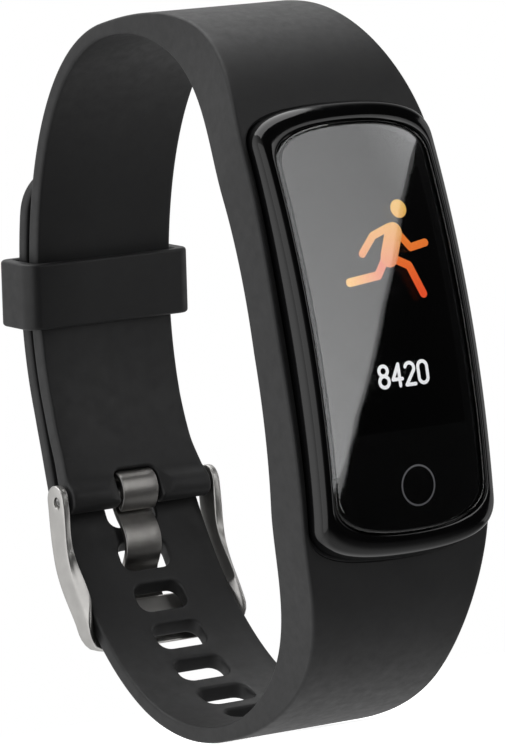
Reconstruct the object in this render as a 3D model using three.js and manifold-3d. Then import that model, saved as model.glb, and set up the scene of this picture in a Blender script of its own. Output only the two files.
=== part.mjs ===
// Fitness tracker band: a one-piece silicone strap with a steel buckle, a free keeper loop
// and a sealed tracker module pressed into the strap's cradle.
// Millimetres. The origin is the middle of the wrist opening, X is the wrist's axis,
// -Y is the side the display faces, +Y is the buckle side and +Z is the display's top.

import * as THREE from 'three';
import { mergeVertices } from 'three/addons/utils/BufferGeometryUtils.js';
import Module from 'manifold-3d';

const wasm = await Module();
wasm.setup();

// ---------------------------------------------------------------- driving dimensions

// strap
const cradleHalfWidth = 10.8;
const strapBackHalfWidth = 7.75;
const bendExtraHalfWidth = 0.55;
const strapEdge = 0.4;
const tipLength = 5.5;

// holes of the long strap half
const holePitch = 4.8;
const holeHalfWidth = 2.85;
const holeLength = 3.3;
const holeCorner = 1.2;
const firstHoleHeight = -15.7;
const holesAboveFirst = 5;
const holesBelowFirst = 6;

// buckle
const pinY = 21.0;
const pinZ = -9.25;
const pinRadius = 0.75;
const barRadius = 1.5;
const tongueHalfWidth = 2.1;
const tongueThickness = 0.8;
const tongueRollRadius = 1.75;
const slotHalfWidth = 2.5;
const armInner = 8.75;
const armOuter = 9.75;
const crossbarY = 21.05;
const crossbarZ = -23.35;
const crossbarTilt = THREE.MathUtils.degToRad(-8);

// keeper loop
const keeperY = 22.23;
const keeperZ = 12.0;
const keeperTilt = THREE.MathUtils.degToRad(14.5);
const keeperHalfWidth = 9.75;
const keeperHeight = 6.7;
const keeperDepth = 6.4;
const keeperSideWall = 1.45;
const keeperFaceWall = 0.9;

// tracker module
const moduleZ = 0.7;
const bezelHalfWidth = 10.0;
const bezelHalfLength = 21.7;
const bodyHalfWidth = 9.0;
const bodyHalfLength = 20.4;
const glassHalfWidth = 8.6;
const glassHalfLength = 19.6;
const crownRadius = 100;
const crownFront = -29.2;
const glassThickness = 0.9;
const ledgeHalfWidth = 8.0;
const ledgeHalfLength = 18.9;
const cavityHalfWidth = 8.1;
const cavityHalfLength = 19.4;
const recessFloor = -24.2;
const bodyBack = -21.85;
const coverFront = -21.55;
const coverBack = -20.8;
const sensorBumpBack = -20.2;
const clearance = 0.12;

// ---------------------------------------------------------------- materials

function finish(color, roughness, metalness) {
  return new THREE.MeshStandardMaterial({ color, roughness, metalness });
}

const silicone = finish(0x232325, 0.62, 0);
const glossBlack = finish(0x08080a, 0.15, 0);
const blackGlass = finish(0x050506, 0.05, 0);
const steel = finish(0x8a8a88, 0.32, 1);
const blackPlastic = finish(0x17171a, 0.5, 0);
const foamTape = finish(0x202020, 0.9, 0);
const displayFace = finish(0x0b0b10, 0.2, 0);
const backlightWhite = finish(0xd9dce0, 0.5, 0);
const flexAmber = finish(0xb4671c, 0.45, 0);
const boardGreen = finish(0x1d5a35, 0.5, 0);
const chipBlack = finish(0x1b1b1d, 0.55, 0);
const ceramicWhite = finish(0xd8d2c4, 0.5, 0);
const batterySilver = finish(0xb9bcc0, 0.4, 0.6);
const gold = finish(0xd0a244, 0.3, 1);
const ledGreen = finish(0x39d06a, 0.25, 0);
const clearWindow = finish(0x18181c, 0.08, 0);
const tungsten = finish(0x74767a, 0.4, 1);

// ---------------------------------------------------------------- helpers

const band = new THREE.Group();

function addPart(name, geometry, material) {
  const mesh = new THREE.Mesh(geometry, material);
  mesh.name = name;
  band.add(mesh);
  return mesh;
}

function toSolid(geometry) {
  const bare = geometry.clone();
  bare.deleteAttribute('normal');
  bare.deleteAttribute('uv');
  const merged = mergeVertices(bare, 1e-4);
  const vertProperties = new Float32Array(merged.attributes.position.array);
  const triVerts = new Uint32Array(merged.index.array);
  return new wasm.Manifold(new wasm.Mesh({ numProp: 3, vertProperties, triVerts }));
}

function toGeometry(solid) {
  const mesh = solid.getMesh();
  const geometry = new THREE.BufferGeometry();
  geometry.setAttribute('position', new THREE.BufferAttribute(mesh.vertProperties, 3));
  geometry.setIndex(new THREE.BufferAttribute(mesh.triVerts, 1));
  geometry.computeVertexNormals();
  return geometry;
}

function cut(base, ...tools) {
  return tools.reduce((solid, tool) => solid.subtract(tool), base);
}

function join(base, ...others) {
  return others.reduce((solid, other) => solid.add(other), base);
}

// A shape drawn as (Y, Z) and extruded along X, centred on X = 0.
const sideAxes = new THREE.Matrix4().makeBasis(
  new THREE.Vector3(0, 1, 0), new THREE.Vector3(0, 0, 1), new THREE.Vector3(1, 0, 0));

function sidePlate(shape, width, options = {}) {
  const bevel = options.bevelThickness ?? 0;
  const geometry = new THREE.ExtrudeGeometry(shape,
    { depth: width - 2 * bevel, bevelEnabled: bevel > 0, curveSegments: 8, ...options });
  geometry.translate(0, 0, bevel - width / 2);
  return geometry.applyMatrix4(sideAxes);
}

// A shape drawn as (X, Z) and extruded along Y from front to back.
function frontPlate(shape, front, back, options = {}) {
  const bevel = options.bevelThickness ?? 0;
  const geometry = new THREE.ExtrudeGeometry(shape,
    { depth: back - front - 2 * bevel, bevelEnabled: bevel > 0, curveSegments: 6, ...options });
  geometry.translate(0, 0, bevel);
  geometry.rotateX(Math.PI / 2);
  return geometry.translate(0, back, 0);
}

function block(x0, x1, y0, y1, z0, z1) {
  const geometry = new THREE.BoxGeometry(x1 - x0, y1 - y0, z1 - z0);
  return geometry.translate((x0 + x1) / 2, (y0 + y1) / 2, (z0 + z1) / 2);
}

function rod(radius, length, sides = 20) {
  const geometry = new THREE.CylinderGeometry(radius, radius, length, sides);
  return geometry.rotateZ(Math.PI / 2);
}

function post(x, z, radius, front, back, sides = 16) {
  const geometry = new THREE.CylinderGeometry(radius, radius, back - front, sides);
  return geometry.translate(x, (front + back) / 2, z);
}

function roundedRectangle(halfWidth, halfHeight, corner, centreX = 0, centreY = 0) {
  const shape = new THREE.Shape();
  const innerX = halfWidth - corner;
  const innerY = halfHeight - corner;
  shape.absarc(centreX + innerX, centreY + innerY, corner, 0, Math.PI / 2);
  shape.absarc(centreX - innerX, centreY + innerY, corner, Math.PI / 2, Math.PI);
  shape.absarc(centreX - innerX, centreY - innerY, corner, Math.PI, 1.5 * Math.PI);
  shape.absarc(centreX + innerX, centreY - innerY, corner, 1.5 * Math.PI, 2 * Math.PI);
  shape.closePath();
  return shape;
}

// The side view of a strip of even thickness that follows a smooth line through the points.
function bentStrip(points, thickness, divisions) {
  const line = new THREE.SplineCurve(points.map(([y, z]) => new THREE.Vector2(y, z)));
  const left = [];
  const right = [];
  for (let step = 0; step <= divisions; step += 1) {
    const point = line.getPoint(step / divisions);
    const tangent = line.getTangent(step / divisions);
    const across = new THREE.Vector2(-tangent.y, tangent.x).multiplyScalar(thickness / 2);
    left.push(point.clone().add(across));
    right.unshift(point.clone().sub(across));
  }
  return new THREE.Shape([...right, ...left]);
}

// The module's front outline: straight sides and softly bowed ends.
function moduleOutline(halfWidth, halfLength) {
  const sideEnd = halfLength - 3.8;
  const shoulder = halfLength - 1.0;
  const bow = halfWidth - 3.2;
  const shape = new THREE.Shape();
  shape.moveTo(halfWidth, moduleZ - sideEnd);
  shape.lineTo(halfWidth, moduleZ + sideEnd);
  shape.bezierCurveTo(halfWidth, moduleZ + shoulder, bow, moduleZ + halfLength, 0, moduleZ + halfLength);
  shape.bezierCurveTo(-bow, moduleZ + halfLength, -halfWidth, moduleZ + shoulder,
    -halfWidth, moduleZ + sideEnd);
  shape.lineTo(-halfWidth, moduleZ - sideEnd);
  shape.bezierCurveTo(-halfWidth, moduleZ - shoulder, -bow, moduleZ - halfLength, 0, moduleZ - halfLength);
  shape.bezierCurveTo(bow, moduleZ - halfLength, halfWidth, moduleZ - shoulder,
    halfWidth, moduleZ - sideEnd);
  return shape;
}

// ---------------------------------------------------------------- strap

// The strap's side view, worked out from how far the wrist opening reaches, how thick the strap is
// and how high its front and back bulge. Its spans follow one another from the buckle bar up the
// short half, over the top, down the front, round the bottom and up the long half to its tip. Each
// span has the curve of the face that touches the wrist, the curve of the outer face, and the
// number of steps that its bend needs.
const openingFront = -21.6;
const openingBack = 21.7;
const openingHalfHeight = 34;
const outerFront = -26.2;
const shortThickness = 1.85;
const crownThickness = 1.55;
const soleThickness = 1.6;
const longThickness = 1.5;
const halvesGap = 0.4;
const backHeight = 1.5;
const frontHeight = 3;
const outerFrontHeight = 3.9;

// Where the opening's outline and the outer one run upright or level.
const crown = [0, openingHalfHeight];
const outerCrown = [0, openingHalfHeight + crownThickness];
const sole = [0, -openingHalfHeight];
const outerSole = [0, -openingHalfHeight - soleThickness];
const front = [openingFront, frontHeight];
const outerFrontPoint = [outerFront, outerFrontHeight];
const shortBack = [openingBack, backHeight];
const outerShortBack = [openingBack + shortThickness, backHeight];
const longBack = [outerShortBack[0] + halvesGap, backHeight];
const outerLongBack = [longBack[0] + longThickness, backHeight];

// A quarter of a rounded outline, from where it runs upright to where it runs level. Fullness is
// how far each end runs on before it bends: 0.55 at both ends is a quarter of an ellipse.
function quarter(upright, level, uprightFullness, levelFullness) {
  return [upright, [upright[0], upright[1] + uprightFullness * (level[1] - upright[1])],
    [level[0] + levelFullness * (upright[0] - level[0]), level[1]], level];
}

const shortLower = [[[19.7, -8.9], [20.7, -7.0], [openingBack, -4.0], shortBack],
  [[22.2, -8.9], [23.1, -5.5], [23.5, -2.5], outerShortBack], 6];
const shortUpper = [quarter(shortBack, crown, 0.44, 0.6),
  quarter(outerShortBack, outerCrown, 0.4, 0.63), 14];
const frontUpper = [quarter(front, crown, 0.5, 0.75).reverse(),
  quarter(outerFrontPoint, outerCrown, 0.65, 0.91).reverse(), 18];
const frontLower = [quarter(front, sole, 0.5, 0.75),
  quarter(outerFrontPoint, outerSole, 0.6, 0.92), 18];
const longLower = [quarter(longBack, sole, 0.58, 0.6).reverse(),
  quarter(outerLongBack, outerSole, 0.6, 0.58).reverse(), 14];
const longUpper = [[longBack, [longBack[0], 10.0], [20.75, 20.0], [17.4, 24.2]],
  [outerLongBack, [outerLongBack[0], 9.5], [22.4, 19.9], [18.6, 25.0]], 14];
const strapSpans = [shortLower, shortUpper, frontUpper, frontLower, longLower, longUpper];

function sideCurve(points) {
  const [start, first, second, end] = points.map(([y, z]) => new THREE.Vector2(y, z));
  return new THREE.CubicBezierCurve(start, first, second, end);
}

// Half width of the strap at a point of its side view: widest beside the module, narrower
// past each end of it, and narrowest at the back.
function strapHalfWidth(point) {
  const turn = Math.abs(THREE.MathUtils.radToDeg(Math.atan2(point.y, -point.x)));
  const slender = strapBackHalfWidth + bendExtraHalfWidth * (180 - turn) / 100;
  const flare = 1 - THREE.MathUtils.smoothstep(turn, 36, 70);
  const cradleExtra = cradleHalfWidth - strapBackHalfWidth - bendExtraHalfWidth * 1.44;
  return slender + cradleExtra * flare;
}

// Stations along the strap, each with its two faces and its half width. The long half ends in
// a half-round tip.
function strapRibs() {
  const ribs = [];
  strapSpans.forEach(([innerPoints, outerPoints, steps], index) => {
    const inner = sideCurve(innerPoints);
    const outer = sideCurve(outerPoints);
    for (let step = index === 0 ? 0 : 1; step <= steps; step += 1) {
      const share = index === strapSpans.length - 1 ? Math.sin(step / steps * Math.PI / 2) : step / steps;
      const rib = { inner: inner.getPoint(share), outer: outer.getPoint(share) };
      rib.halfWidth = strapHalfWidth(rib.inner);
      ribs.push(rib);
    }
  });
  const end = ribs[ribs.length - 1].inner;
  ribs.forEach((rib, index) => {
    const intoTip = tipLength - rib.inner.distanceTo(end);
    if (index > ribs.length / 2 && intoTip > 0) {
      rib.halfWidth *= Math.sqrt(1 - 0.75 * (intoTip / tipLength) ** 2);
    }
  });
  return ribs;
}

// A straight rounded bar is bent along the ribs, so that its edges keep their radius.
function bentStrap() {
  const ribs = strapRibs();
  const nominalHalfThickness = 1;
  const section = roundedRectangle(cradleHalfWidth, nominalHalfThickness, strapEdge);
  const geometry = new THREE.ExtrudeGeometry(section,
    { depth: 1, steps: ribs.length - 1, bevelEnabled: false, curveSegments: 1 });
  const position = geometry.attributes.position;
  for (let i = 0; i < position.count; i += 1) {
    const rib = ribs[Math.round(position.getZ(i) * (ribs.length - 1))];
    const x = position.getX(i);
    const height = position.getY(i);
    const thickness = rib.inner.distanceTo(rib.outer);
    const fromFace = (nominalHalfThickness - Math.abs(height)) / thickness;
    const share = height > 0 ? 1 - fromFace : fromFace;
    const place = rib.inner.clone().lerp(rib.outer, share);
    position.setXYZ(i, Math.sign(x) * (Math.abs(x) - cradleHalfWidth + rib.halfWidth), place.x, place.y);
  }
  return geometry;
}

// Place on the long half at a distance along it, counted from the hole that the tongue uses.
function placeOnLongHalf(distance) {
  const lowerLongFace = sideCurve(longLower[0]);
  const upperLongFace = sideCurve(longUpper[0]);
  const lowerLength = lowerLongFace.getLength();
  let start = 0;
  while (lowerLongFace.getPointAt(start).y < firstHoleHeight) {
    start += 0.001;
  }
  const along = start * lowerLength + distance;
  const face = along <= lowerLength ? lowerLongFace : upperLongFace;
  const share = along <= lowerLength ? along / lowerLength : (along - lowerLength) / face.getLength();
  const point = face.getPointAt(share);
  const tangent = face.getTangentAt(share);
  return { y: point.x, z: point.y, lean: Math.atan2(-tangent.x, tangent.y) };
}

function strapHole(distance) {
  const place = placeOnLongHalf(distance);
  const geometry = frontPlate(
    roundedRectangle(holeHalfWidth, holeLength / 2, holeCorner), -2, 5, { curveSegments: 3 });
  geometry.rotateX(place.lean);
  return toSolid(geometry.translate(0, place.y, place.z));
}

function buildStrap() {
  const holes = [];
  for (let index = -holesBelowFirst; index <= holesAboveFirst; index += 1) {
    holes.push(strapHole(index * holePitch));
  }
  const recess = frontPlate(
    moduleOutline(bezelHalfWidth + clearance, bezelHalfLength + clearance), -32, recessFloor);
  const pocket = frontPlate(
    moduleOutline(bodyHalfWidth + clearance, bodyHalfLength + clearance), -30, -15);
  const tongueSlot = block(-slotHalfWidth, slotHalfWidth, pinY - 3, pinY + 2.05, pinZ - 3, pinZ + 2.45);
  const pinBore = rod(pinRadius + 0.1, 30).translate(0, pinY, pinZ);
  const bar = toSolid(rod(barRadius, 2 * strapBackHalfWidth, 24).translate(0, pinY, pinZ));
  const solid = cut(join(toSolid(bentStrap()), bar), ...holes, toSolid(recess), toSolid(pocket),
    toSolid(tongueSlot), toSolid(pinBore));
  addPart('strap', toGeometry(solid), silicone);
}

// ---------------------------------------------------------------- keeper

function buildKeeper() {
  const outer = roundedRectangle(keeperHalfWidth, keeperDepth / 2, 1.5);
  outer.holes.push(roundedRectangle(
    keeperHalfWidth - keeperSideWall, keeperDepth / 2 - keeperFaceWall, 0.5));
  const geometry = new THREE.ExtrudeGeometry(outer, {
    depth: keeperHeight - 0.5, curveSegments: 5, bevelThickness: 0.25, bevelSize: 0.25,
    bevelOffset: -0.25, bevelSegments: 1 });
  geometry.translate(0, 0, 0.25 - keeperHeight / 2);
  const mesh = addPart('keeper_loop', geometry, silicone);
  mesh.position.set(0, keeperY, keeperZ);
  mesh.rotation.x = keeperTilt;
}

// ---------------------------------------------------------------- buckle

// Side outline of one arm: a round eye at the pin, then a kinked strip beside the strap that
// turns outwards at its foot to carry the crossbar.
function armOutline() {
  const shape = new THREE.Shape();
  shape.absarc(pinY + 0.3, pinZ + 0.15, 1.5, 0, Math.PI);
  shape.bezierCurveTo(19.7, -11.5, 20.3, -13.2, 20.3, -15);
  shape.bezierCurveTo(20.3, -17.5, 18.7, -19, 18.7, -21);
  shape.bezierCurveTo(18.7, -22.5, 19.4, -23.2, 19.9, -24.6);
  shape.lineTo(21.9, -24.6);
  shape.bezierCurveTo(22.4, -22.6, 21.7, -21.6, 21.7, -20.2);
  shape.bezierCurveTo(21.7, -18.4, 23.1, -17, 23.1, -14.2);
  shape.bezierCurveTo(23.1, -12.2, 22.8, -11, pinY + 1.8, pinZ + 0.15);
  return shape;
}

function buildBuckleFrame() {
  const arms = [-1, 1].map((side) => {
    const plate = sidePlate(armOutline(), armOuter - armInner, {
      curveSegments: 6, bevelThickness: 0.2, bevelSize: 0.2, bevelOffset: -0.2, bevelSegments: 1 });
    return toSolid(plate.translate(side * (armInner + armOuter) / 2, 0, 0));
  });
  const crossbar = sidePlate(roundedRectangle(0.5, 1.15, 0.4), armInner + armOuter);
  crossbar.rotateX(crossbarTilt);
  crossbar.translate(0, crossbarY, crossbarZ);
  const plan = frontPlate(roundedRectangle(armOuter + 0.01, 9.5, 2.4, 0, -15.1), 15, 27);
  const eyes = rod(pinRadius, 30).translate(0, pinY, pinZ);
  const frame = join(arms[0], arms[1], toSolid(crossbar)).intersect(toSolid(plan));
  addPart('buckle_frame', toGeometry(frame.subtract(toSolid(eyes))), steel);
}

function buildPin() {
  const pin = rod(pinRadius - 0.03, 2 * armOuter - 0.3).translate(0, pinY, pinZ);
  addPart('buckle_pin', pin, steel);
}

// The tongue is one strip of sheet metal: rolled round the pin, then bowed towards the wrist,
// through a strap hole and out to rest on the crossbar.
const tonguePath = [[19.6, -10.3], [19.75, -12.2], [20.0, -13.7], [21.0, -15.3], [22.3, -16.5],
  [23.1, -17.7], [23.15, -19.4], [22.55, -21.8], [22.0, -24.2]];

function buildTongue() {
  const roll = new THREE.Shape();
  roll.absarc(pinY, pinZ, tongueRollRadius, 0, 2 * Math.PI);
  const eye = new THREE.Path();
  eye.absarc(pinY, pinZ, pinRadius + 0.05, 0, 2 * Math.PI, true);
  roll.holes.push(eye);
  const shank = bentStrip(tonguePath, tongueThickness, 18);
  const strip = toSolid(sidePlate(shank, 2 * tongueHalfWidth));
  const rolled = toSolid(sidePlate(roll, 2 * tongueHalfWidth, { curveSegments: 12 }));
  addPart('buckle_tongue', toGeometry(join(rolled, strip)), steel);
}

// ---------------------------------------------------------------- module shells

// Side view of the space behind a crowned front face that lies `inset` behind the glass front.
function crownedSide(inset, back) {
  const shape = new THREE.Shape();
  const reach = 24;
  const centreY = crownFront + inset + crownRadius;
  const half = Math.asin(reach / crownRadius);
  shape.moveTo(back, moduleZ - reach);
  shape.lineTo(back, moduleZ + reach);
  shape.absarc(centreY, moduleZ, crownRadius, Math.PI - half, Math.PI + half);
  shape.closePath();
  return toSolid(sidePlate(shape, 30, { curveSegments: 16 }));
}

// Cross section of the bezel: upright sides that roll over to the edge of the glass.
function bezelSection() {
  const shape = new THREE.Shape();
  shape.moveTo(bezelHalfWidth, recessFloor - clearance);
  shape.lineTo(bezelHalfWidth, -25.8);
  shape.bezierCurveTo(bezelHalfWidth, -28.2, bezelHalfWidth - 0.5, -29.4, glassHalfWidth - 1.2, -29.6);
  shape.lineTo(-glassHalfWidth + 1.2, -29.6);
  shape.bezierCurveTo(0.5 - bezelHalfWidth, -29.4, -bezelHalfWidth, -28.2, -bezelHalfWidth, -25.8);
  shape.lineTo(-bezelHalfWidth, recessFloor - clearance);
  shape.closePath();
  const geometry = new THREE.ExtrudeGeometry(shape, { depth: 60, bevelEnabled: false, curveSegments: 5 });
  geometry.translate(0, 0, moduleZ - 30);
  return toSolid(geometry);
}

const bossPlaces = [[-6.4, -16.7], [6.4, -16.7], [-6.4, 18.1], [6.4, 18.1]];

function buildFrontCase() {
  const flange = toSolid(frontPlate(moduleOutline(bezelHalfWidth, bezelHalfLength),
    -30, recessFloor - clearance)).intersect(crownedSide(0.15, -20)).intersect(bezelSection());
  const body = toSolid(frontPlate(moduleOutline(bodyHalfWidth, bodyHalfLength), -26, bodyBack));
  const bosses = bossPlaces.map(([x, z]) => toSolid(post(x, z, 1.35, -24.2, bodyBack, 12)));
  const pilots = bossPlaces.map(([x, z]) => toSolid(post(x, z, 0.5, -23.9, bodyBack + 1, 10)));
  const cavity = toSolid(frontPlate(moduleOutline(cavityHalfWidth, cavityHalfLength), -25.9, -20));
  const window = toSolid(frontPlate(moduleOutline(ledgeHalfWidth, ledgeHalfLength), -31, -20));
  const seat = toSolid(frontPlate(moduleOutline(glassHalfWidth + 0.08, glassHalfLength + 0.08), -31, -20));
  const seatFloor = crownedSide(glassThickness + 0.2, -15);
  const shell = cut(join(flange, body), window, cavity, seat.subtract(seatFloor));
  const wall = toSolid(frontPlate(moduleOutline(bodyHalfWidth - 0.2, bodyHalfLength - 0.2), -26, -20));
  const posts = join(...bosses).intersect(wall);
  addPart('front_case', toGeometry(cut(join(shell, posts), ...pilots)), glossBlack);
}

function buildGlass() {
  const outline = toSolid(frontPlate(moduleOutline(glassHalfWidth, glassHalfLength), -32, -20));
  const glass = outline.intersect(crownedSide(0, -20)).subtract(crownedSide(glassThickness, -15));
  addPart('front_glass', toGeometry(glass), blackGlass);
  const ring = toSolid(frontPlate(moduleOutline(glassHalfWidth - 0.05, glassHalfLength - 0.05), -32, -20))
    .subtract(toSolid(frontPlate(moduleOutline(ledgeHalfWidth + 0.02, ledgeHalfLength + 0.02), -33, -10)));
  const gasket = ring.intersect(crownedSide(glassThickness + 0.03, -20))
    .subtract(crownedSide(glassThickness + 0.17, -15));
  addPart('glass_adhesive', toGeometry(gasket), foamTape);
}

function buildBackCover() {
  const plate = toSolid(frontPlate(moduleOutline(bodyHalfWidth, bodyHalfLength), coverFront, coverBack, {
    bevelThickness: 0.2, bevelSize: 0.2, bevelOffset: -0.2, bevelSegments: 1 }));
  const bump = toSolid(frontPlate(roundedRectangle(5.6, 7.0, 3.2, 0, moduleZ), coverFront + 0.3,
    sensorBumpBack, { bevelThickness: 0.25, bevelSize: 0.5, bevelOffset: -0.5, bevelSegments: 2 }));
  const sensorOpening = toSolid(frontPlate(roundedRectangle(3.9, 5.2, 2.2, 0, moduleZ), -23, -19));
  const screwHoles = bossPlaces.map(([x, z]) => toSolid(post(x, z, 0.62, -23, -19, 12)));
  const screwSeats = bossPlaces.map(([x, z]) => toSolid(post(x, z, 1.1, coverBack - 0.42, -19, 14)));
  const contactHoles = [-2.2, 2.2].map((x) => toSolid(post(x, moduleZ - 10.5, 0.95, -23, -19, 16)));
  const cover = cut(join(plate, bump), sensorOpening, ...screwHoles, ...screwSeats, ...contactHoles);
  addPart('back_cover', toGeometry(cover), blackPlastic);
  const seal = moduleOutline(bodyHalfWidth - 0.15, bodyHalfLength - 0.15);
  seal.holes.push(moduleOutline(cavityHalfWidth + 0.1, cavityHalfLength + 0.1));
  addPart('case_seal', frontPlate(seal, bodyBack + 0.05, coverFront - 0.05), foamTape);
}

function buildBackHardware() {
  const corners = ['lower_left', 'lower_right', 'upper_left', 'upper_right'];
  bossPlaces.forEach(([x, z], index) => {
    const head = toSolid(post(x, z, 1.0, coverBack - 0.4, coverBack - 0.02, 14));
    const shank = toSolid(post(x, z, 0.42, -23.4, coverBack - 0.3, 10));
    const slotWide = toSolid(block(x - 0.6, x + 0.6, coverBack - 0.22, -20, z - 0.12, z + 0.12));
    const slotTall = toSolid(block(x - 0.12, x + 0.12, coverBack - 0.22, -20, z - 0.6, z + 0.6));
    const screw = cut(join(head, shank), slotWide, slotTall);
    addPart(`back_screw_${corners[index]}`, toGeometry(screw), steel);
  });
  [['left', -2.2], ['right', 2.2]].forEach(([side, x]) => {
    const contact = post(x, moduleZ - 10.5, 0.8, -21.7, coverBack + 0.05, 16);
    addPart(`charging_contact_${side}`, contact, gold);
  });
}

// ---------------------------------------------------------------- module insides

const displayTop = 16.6;
const displayBottom = -11.6;

function buildDisplay() {
  addPart('display_panel', block(-7.65, 7.65, -26.55, -25.95, displayBottom, displayTop), displayFace);
  addPart('display_backlight', block(-7.6, 7.6, -25.85, -25.3, displayBottom + 0.3, displayTop), backlightWhite);
  const touchPad = post(0, -14.7, 2.4, -26.35, -26.1, 20);
  addPart('touch_key_pad', touchPad, gold);
  const fold = new THREE.Shape();
  fold.moveTo(-25.55, -11.4);
  fold.lineTo(-25.55, -12.3);
  fold.lineTo(-24.85, -12.3);
  fold.lineTo(-24.85, -9.6);
  fold.lineTo(-24.7, -9.6);
  fold.lineTo(-24.7, -12.45);
  fold.lineTo(-25.7, -12.45);
  fold.lineTo(-25.7, -11.4);
  addPart('display_flex', sidePlate(fold, 5), flexAmber);
  const middle = roundedRectangle(7.8, 15.4, 0.8, 0, 2.1);
  middle.holes.push(roundedRectangle(6.4, 12.2, 0.8, 0, 2.9));
  const flexSlot = toSolid(block(-3, 3, -27, -23, -14, -9.2));
  const frame = toSolid(frontPlate(middle, -25.2, -24.75, { curveSegments: 3 }));
  addPart('inner_frame', toGeometry(frame.subtract(flexSlot)), blackPlastic);
}

function buildBattery() {
  const cell = frontPlate(roundedRectangle(6.9, 10.2, 0.9, 0, 5.8), -24.4, -22.15,
    { curveSegments: 3, bevelThickness: 0.4, bevelSize: 0.3, bevelOffset: -0.3, bevelSegments: 1 });
  addPart('battery_cell', cell, batterySilver);
  addPart('battery_tape', block(-5, 5, -24.65, -24.5, -3, 14.5), foamTape);
  addPart('battery_board', block(-4.6, 4.6, -24.3, -23.7, 16.3, 18.4), boardGreen);
}

// Name, centre X, centre Z, width, length and height of each part on the board's rear face.
const boardParts = [
  ['processor_chip', -0.4, -8.2, 4.0, 4.0, 0.8, chipBlack],
  ['memory_chip', -4.9, -8.2, 3.2, 2.6, 0.7, chipBlack],
  ['motion_sensor_chip', 3.4, -9.2, 2.0, 2.0, 0.8, chipBlack],
  ['charger_chip', 3.6, -6.4, 2.0, 2.0, 0.7, chipBlack],
  ['clock_crystal', 6.2, -6.2, 1.6, 1.0, 0.6, batterySilver],
  ['antenna_chip', 6.2, -9.6, 1.6, 3.0, 0.6, ceramicWhite],
];

function buildMainBoard() {
  const boardFront = -24.35;
  const boardBack = -23.75;
  addPart('main_board', block(-7.5, 7.5, boardFront, boardBack, -11.6, -4.8), boardGreen);
  boardParts.forEach(([name, x, z, width, length, height, material]) => {
    const body = block(x - width / 2, x + width / 2, boardBack + 0.03, boardBack + 0.03 + height,
      z - length / 2, z + length / 2);
    addPart(name, body, material);
  });
  addPart('flex_connector', block(-2.4, 2.4, -24.62, -24.4, -11.2, -9.6), blackPlastic);
}

const motorZ = -15.5;
const motorRadius = 3.1;

function buildMotor() {
  const cup = [[0, -24.35], [motorRadius, -24.35], [motorRadius, -22.5], [motorRadius - 0.2, -22.5],
    [motorRadius - 0.2, -24.15], [0, -24.15]];
  const profile = cup.map(([radius, y]) => new THREE.Vector2(radius, y));
  const cupGeometry = new THREE.LatheGeometry(profile, 28);
  addPart('vibration_motor_case', cupGeometry.translate(0, 0, motorZ), steel);
  addPart('vibration_motor_cover', post(0, motorZ, motorRadius, -22.45, -22.2, 28), steel);
  addPart('vibration_motor_shaft', post(0, motorZ, 0.3, -24.1, -22.5, 12), tungsten);
  const weight = new THREE.Shape();
  weight.absarc(0, motorZ, 2.5, Math.PI, 2 * Math.PI);
  weight.absarc(0, motorZ, 0.9, 0, Math.PI);
  weight.closePath();
  const bore = toSolid(post(0, motorZ, 0.4, -25, -21, 12));
  const rotor = toSolid(frontPlate(weight, -23.95, -22.75, { curveSegments: 10 })).subtract(bore);
  addPart('vibration_motor_rotor', toGeometry(rotor), tungsten);
}

function buildHeartSensor() {
  addPart('sensor_board', block(-4.4, 4.4, -22.05, -21.7, moduleZ - 5.6, moduleZ + 5.6), boardGreen);
  addPart('sensor_led_upper', block(-0.8, 0.8, -21.65, -21.2, moduleZ + 2.2, moduleZ + 3.4), ledGreen);
  addPart('sensor_led_lower', block(-0.8, 0.8, -21.65, -21.2, moduleZ - 3.4, moduleZ - 2.2), ledGreen);
  addPart('sensor_photodiode', block(-1.1, 1.1, -21.65, -21.25, moduleZ - 1.0, moduleZ + 1.0), chipBlack);
  const wall = roundedRectangle(2.0, 1.75, 0.4, 0, moduleZ);
  wall.holes.push(roundedRectangle(1.5, 1.3, 0.2, 0, moduleZ));
  addPart('sensor_light_wall', frontPlate(wall, -21.65, -21.05, { curveSegments: 3 }), blackPlastic);
  const lens = frontPlate(roundedRectangle(3.8, 5.1, 2.1, 0, moduleZ), -21.0, sensorBumpBack);
  addPart('sensor_window', lens, clearWindow);
}

buildStrap();
buildKeeper();
buildBuckleFrame();
buildPin();
buildTongue();
buildFrontCase();
buildGlass();
buildBackCover();
buildBackHardware();
buildDisplay();
buildBattery();
buildMainBoard();
buildMotor();
buildHeartSensor();

export default band;
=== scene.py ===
"""Looks for the fitness tracker band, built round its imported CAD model."""
import math

import bmesh
import bpy
import numpy as np
from mathutils import Matrix, Vector
from mathutils.geometry import delaunay_2d_cdt
from mathutils.kdtree import KDTree


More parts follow.
